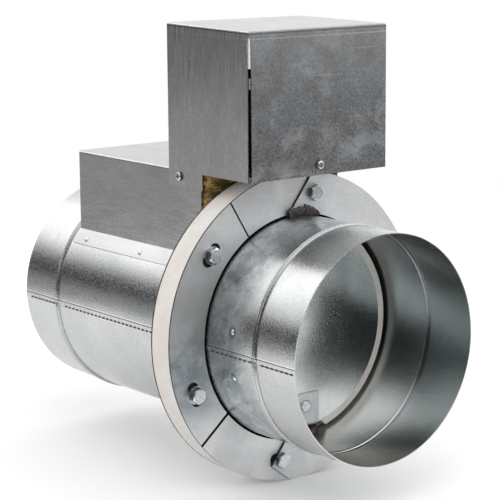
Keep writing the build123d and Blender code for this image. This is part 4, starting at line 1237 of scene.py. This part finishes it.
class DAMPER_OT_wool(bpy.types.Operator):
    """Mineral wool that fills the rear box, with ragged layers and loose fibres in front"""

    bl_idname = "damper.wool"
    bl_label = "Wool"

    def execute(self, context):
        sizes = context.scene.damper_sizes
        low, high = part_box("wool_fill")
        wool = voxelled("wool_fill", "wool_block", WOOL_NET)
        normals = [vert.normal.copy() for vert in wool.data.vertices]
        for vert, normal in zip(wool.data.vertices, normals):
            spot = vert.co
            layers = noise.fractal(Vector((spot.x * 35, spot.y * 35, spot.z * 260)), 0.8, 2.0, 4)
            depth = 0.0009 + 0.0010 * layers + 0.0008 * noise.noise(spot * 120)
            vert.co -= normal * max(0.0, depth)
        smooth(wool)
        fibre = mesh_piece("fibre_one", one_fibre, sizes.fibre_length)
        # The fibres grow on the front and on the foremost part of the sides
        skin = bmesh.new()
        skin.from_mesh(wool.data)
        unwanted = [face for face in skin.faces
                    if face.calc_center_median().y > low.y + 0.012 or face.normal.z < -0.3
                    or abs(face.normal.x) + max(0.0, -face.normal.y) < 0.6]
        bmesh.ops.delete(skin, geom=unwanted, context="FACES")
        area = sum(face.calc_area() for face in skin.faces)
        host = shaped("fibre_patch", skin)
        values = {"Density": sizes.fibre_count / area, "Seed": 5, "Material": finish("wool")}
        fibres = run_tree(host, fibre_tree(fibre), values, "wool_fibres")
        bpy.data.objects.remove(fibre)
        for vert in fibres.data.vertices:
            vert.co.y = max(vert.co.y, low.y + 0.0001)
            vert.co.x = min(max(vert.co.x, low.x + 0.0001), high.x - 0.0001)
            vert.co.z = min(vert.co.z, high.z - 0.0001)
        keep(wool, HOUSING, "wool", "wool", "wool_fill")
        keep(fibres, HOUSING, "wool", "wool")
        return {"FINISHED"}


# Cover

def from_corner(point):
    """Distances of a point from the cover's left side and from its front."""
    low = COVER_BOX[0]
    return point.x - low.x, point.y - low.y


def wider_slit(point):
    """Bend both flaps a little further back from the open corner at the front left."""
    from_left, from_front = from_corner(point)
    if abs(from_left - COVER_SLIT) < NEAR and from_front < FLAP_DEPTH:
        return point + Vector((SLIT_OPENING, 0.0, 0.0))
    if abs(from_front - COVER_SLIT) < NEAR and from_left < FLAP_DEPTH:
        return point + Vector((0.0, SLIT_OPENING, 0.0))
    return point


def crooked_top(point):
    """The cover's top isn't quite level: it rises a little towards the rear left corner."""
    low, high = COVER_BOX
    if point.z < high.z - TOP_BAND:
        return wider_slit(point)
    back = (point.y - low.y) / (high.y - low.y)
    left = (high.x - point.x) / (high.x - low.x)
    return point + Vector((0.0, 0.0, TOP_LIFT + TOP_LIFT_BACK * back + TOP_LIFT_LEFT * left * back))


def cover_face(normal, centre):
    """0 for the sides and the top, 1 for the front and rear, 2 for the cut ends at the open corner, which get
    painted shade.
    """
    near, far = sorted(from_corner(centre))
    if near > CUT_SKIN and CUT_START < far < CORNER_REACH and abs(normal.z) < FACING:
        return 2
    return 1 if abs(normal.y) > FACING else 0


def screw_wall(normal, centre):
    """1 for the walls of a cover screw's head and recess, which get painted shade, 0 for the rest."""
    ahead = normal.y if from_corner(centre)[1] < 0.004 else normal.x
    return 1 if abs(ahead) < 0.35 else 0


def corner_tab(shape, from_top, to_top):
    """Bent tab that shows in the slit at the front left corner, between two depths below the top."""
    low, high = COVER_BOX
    outer = (low.x + COVER_SHEET + TAB_GAP, low.y + COVER_SHEET + TAB_GAP)
    inner = (outer[0] + TAB_SHEET, outer[1] + TAB_SHEET)
    ends = (outer[0] + TAB_REACH, outer[1] + TAB_REACH)
    outline = [(outer[0], ends[1]), outer, (ends[0], outer[1]),
               (ends[0], inner[1]), inner, (inner[0], ends[1])]
    rings = [[shape.verts.new((x, y, high.z - depth)) for x, y in outline] for depth in (to_top, from_top)]
    loft(shape, rings)


class DAMPER_OT_cover(bpy.types.Operator):
    """Folded cover over the drive with its screws and the cable's grommet"""

    bl_idname = "damper.cover"
    bl_label = "Cover"

    def execute(self, context):
        cover = faced_copy("drive_cover", "drive_cover_sheet", ("cover_zinc", "fogged_zinc", "cut_edge"),
                           cover_face, crooked_top)
        below_top = cover.data.attributes.new("below_top", "FLOAT", "POINT")
        for vert, spot in zip(cover.data.vertices, below_top.data):
            top = crooked_top(Vector((vert.co.x, vert.co.y, COVER_BOX[1].z)))
            spot.value = top.z - vert.co.z
        # The top itself has no fold lines
        for face in cover.data.polygons:
            if abs(face.normal.z) > FACING:
                for index in face.vertices:
                    below_top.data[index].value = 0.05
        ride_as(cover, HOUSING, "cover_zinc", "drive_cover")
        # The upper tab carries a painted highlight; the lower one is plain clamp zinc
        for name, from_top, to_top, key in (("cover_corner_tab", 0.0015, 0.0305, "bare_fold"),
                                            ("cover_corner_tab_low", 0.0385, 0.0475, "clamp_zinc")):
            keep(mesh_piece(name, corner_tab, from_top, to_top), HOUSING, "cover_zinc", key)
        screws = faced_copy("cover_screws", "cover_screws_plated", ("bolt_zinc", "cut_edge"), screw_wall)
        ride_as(screws, HOUSING, "bolt_zinc", "cover_screws")
        paint("cable_grommet", "grommet_rubber")
        return {"FINISHED"}


# Stage

CARD_DISTANCE = 2.2
STUDIO_CARDS = {
    # Sides that it covers, and its brightness at heights from its foot to its top
    "camera_side_card": ((184, 264), ((-2.2, 0.04), (1.1, 0.05), (1.5, 0.20), (1.9, 0.55))),
    "right_side_card": ((264, 345), ((-2.2, 0.05), (-0.05, 0.06), (0.18, 0.55))),
    "rear_left_card": ((100, 184), ((-2.2, 0.29), (-0.30, 0.29), (-0.12, 0.43), (-0.03, 0.40), (0.06, 0.04),
                                    (0.45, 0.04), (0.55, 0.50), (0.66, 0.95))),
}
LAMP_TARGET = (0.0, 0.15, 0.05)
LAMPS = {
    # Spot, size, setting of its power, and the rays that don't see it
    "key_lamp": ((-1.1, -0.9, 1.6), 1.4, "key_power", "visible_glossy"),
    "fill_lamp": ((1.2, -0.9, 1.1), 0.9, "fill_power", None),
    "back_lamp": ((-0.5, 1.8, 1.4), 1.4, "back_power", "visible_diffuse"),
}


def seen_or_mirrored(tree):
    """1 for what the camera sees and what metal or glass shows, 0 for the light on matt surfaces."""
    paths = add(tree, "ShaderNodeLightPath")
    share = Flow(tree, paths.outputs["Is Camera Ray"])
    for kind in ("Is Glossy Ray", "Is Transmission Ray"):
        share = share.sum("MAXIMUM", paths.outputs[kind])
    return share


def end_in(tree, kind, shader):
    """Link the last shader to a new output node."""
    tree.links.new(shader, tree.nodes.new(kind).inputs[0])


def empty_tree(owner):
    """Node tree of a world or material, without the nodes that come with it."""
    owner.use_nodes = True
    owner.node_tree.nodes.clear()
    return owner.node_tree


def stage_world(scene):
    """Plain white studio: white where it is seen or mirrored, softer from below on matt surfaces."""
    scene.world = bpy.data.worlds.new("studio")
    tree = empty_tree(scene.world)
    direction = add(tree, "ShaderNodeTexCoord").outputs["Generated"]
    height = Flow(tree, add(tree, "ShaderNodeSeparateXYZ", Vector=direction).outputs[2])
    soft = add(tree, "ShaderNodeBackground", Color=height.spread(-0.6, 0.8, 0.78, 1.12), Strength=1.0)
    white = add(tree, "ShaderNodeBackground", Color=(1.0, 1.0, 1.0, 1.0), Strength=1.0)
    seen = tree.nodes.new("ShaderNodeMixShader")
    for key, value in (("0", seen_or_mirrored(tree)), ("1", soft.outputs[0]), ("2", white.outputs[0])):
        plug(tree, seen, key, value)
    end_in(tree, "ShaderNodeOutputWorld", seen.outputs[0])


def build_card(shape, sides, low, high):
    """Curved wall round the stage between two angles and two heights."""
    first, last = sides
    steps = 12
    angles = [radians(first + (last - first) * step / steps) for step in range(steps + 1)]
    foot, top = ([shape.verts.new((CARD_DISTANCE * cos(angle), CARD_DISTANCE * sin(angle), height))
                  for angle in angles] for height in (low, high))
    for step in range(steps):
        shape.faces.new((foot[step], foot[step + 1], top[step + 1], top[step]))


def stage_card(name, sides, heights):
    """Curved card that keeps the room's white off the metal on one side, as a photographer's flag does."""
    low, high = heights[0][0], heights[-1][0]
    piece = mesh_piece(name, build_card, sides, low, high)
    material = bpy.data.materials.new(name)
    tree = empty_tree(material)
    ramp = tree.nodes.new("ShaderNodeValToRGB")
    plug(tree, ramp, "0", axis_of(tree, 2).spread(low, high, smooth=False))
    band = ramp.color_ramp
    band.elements.remove(band.elements[-1])
    for index, (height, level) in enumerate(heights):
        at = (height - low) / (high - low)
        stop = band.elements[0] if index == 0 else band.elements.new(at)
        stop.position = at
        stop.color = (level, level, level, 1.0)
    glow = add(tree, "ShaderNodeEmission", Color=ramp.outputs[0], Strength=1.0)
    end_in(tree, "ShaderNodeOutputMaterial", glow.outputs[0])
    piece.data.materials.append(material)
    piece.visible_camera = False
    piece.visible_diffuse = False
    piece.visible_shadow = False


def build_floor(shape, front, back, half_width):
    """Rectangle under the ring, square to the view."""
    towards = Vector((CAMERA_MATRIX[0][3], CAMERA_MATRIX[1][3], 0.0)).normalized()
    sideways = Vector((-towards.y, towards.x, 0.0))
    low = Vector((0.0, 0.0, CAD_BOX[0][2]))
    corners = [(front, -1), (front, 1), (-back, 1), (-back, -1)]
    shape.faces.new([shape.verts.new(low + towards * reach + sideways * side * half_width)
                     for reach, side in corners])


def stage_floor(settings):
    """Pale table top under the ring that keeps the object's shadow.

    Its near edge lies across the view, so what faces the camera mirrors the dark card beyond it.
    """
    piece = mesh_piece("floor", build_floor, settings.floor_front, settings.floor_back,
                       settings.floor_half_width)
    pale = settings.floor_colour[:3]
    material, tree = new_finish("floor", pale, roughness=0.8)
    dress(material, clouds(tree, place(tree), 30.0).between(shade(pale, 0.98), pale))
    glow = add(tree, "ShaderNodeEmission", Color=(1.0, 1.0, 1.0, 1.0),
               Strength=seen_or_mirrored(tree) * settings.floor_glow)
    both = tree.nodes.new("ShaderNodeAddShader")
    tree.links.new(tree.nodes["Principled BSDF"].outputs[0], both.inputs[0])
    tree.links.new(glow.outputs[0], both.inputs[1])
    tree.links.new(both.outputs[0], tree.nodes["Material Output"].inputs[0])
    piece.data.materials.append(material)


def lamp(name, spot, size, power):
    """Square soft lamp that looks at the object."""
    light = bpy.data.lights.new(name, "AREA")
    light.shape = "SQUARE"
    light.size = size
    light.energy = power
    holder = link(name, light)
    holder.location = spot
    holder.rotation_euler = (Vector(LAMP_TARGET) - Vector(spot)).to_track_quat("-Z", "Y").to_euler()
    return holder


class DAMPER_OT_stage(bpy.types.Operator):
    """Floor, white room, dark cards, three soft lamps and the camera"""

    bl_idname = "damper.stage"
    bl_label = "Stage"

    def execute(self, context):
        scene = context.scene
        settings = scene.damper_stage
        scene.view_settings.view_transform = "Standard"
        stage_world(scene)
        stage_floor(settings)
        for name, (sides, heights) in STUDIO_CARDS.items():
            stage_card(name, sides, heights)
        for name, (spot, size, power, hidden) in LAMPS.items():
            holder = lamp(name, spot, size, getattr(settings, power))
            if hidden:
                setattr(holder, hidden, False)
        camera = bpy.data.cameras.new("camera")
        camera.lens = settings.lens
        camera.sensor_width = SENSOR_WIDTH
        camera.clip_start = 0.01
        scene.camera = link("camera", camera)
        scene.camera.matrix_world = Matrix(CAMERA_MATRIX)
        return {"FINISHED"}


PIECE_OPERATORS = (
    DAMPER_OT_ducts,
    DAMPER_OT_insulating_ring,
    DAMPER_OT_clamp_plates,
    DAMPER_OT_weld,
    DAMPER_OT_flange_bolts,
    DAMPER_OT_blade,
    DAMPER_OT_bearings,
    DAMPER_OT_closing_stop,
    DAMPER_OT_rear_box,
    DAMPER_OT_wool,
    DAMPER_OT_drive,
    DAMPER_OT_cover,
    DAMPER_OT_stage,
)


class DAMPER_PT_panel(bpy.types.Panel):
    """Settings and steps of the damper"""

    bl_idname = "DAMPER_PT_panel"
    bl_label = "Round fire damper"
    bl_space_type = "VIEW_3D"
    bl_region_type = "UI"
    bl_category = "Damper"

    def draw(self, context):
        for name in GROUPS:
            group = getattr(context.scene, name)
            box = self.layout.box()
            for key in group.bl_rna.properties.keys():
                if key not in ("rna_type", "name"):
                    box.prop(group, key)
        for operator in PIECE_OPERATORS:
            self.layout.operator(operator.bl_idname)


CLASSES = (*GROUPS.values(), *PIECE_OPERATORS, DAMPER_PT_panel)


def register():
    for item in CLASSES:
        bpy.utils.register_class(item)
    for name, group in GROUPS.items():
        setattr(bpy.types.Scene, name, PointerProperty(type=group))


def unregister():
    for name in GROUPS:
        delattr(bpy.types.Scene, name)
    for item in reversed(CLASSES):
        bpy.utils.unregister_class(item)


def main():
    register()
    for operator in PIECE_OPERATORS:
        group, step = operator.bl_idname.split(".")
        getattr(getattr(bpy.ops, group), step)()


if __name__ == "__main__":
    main()
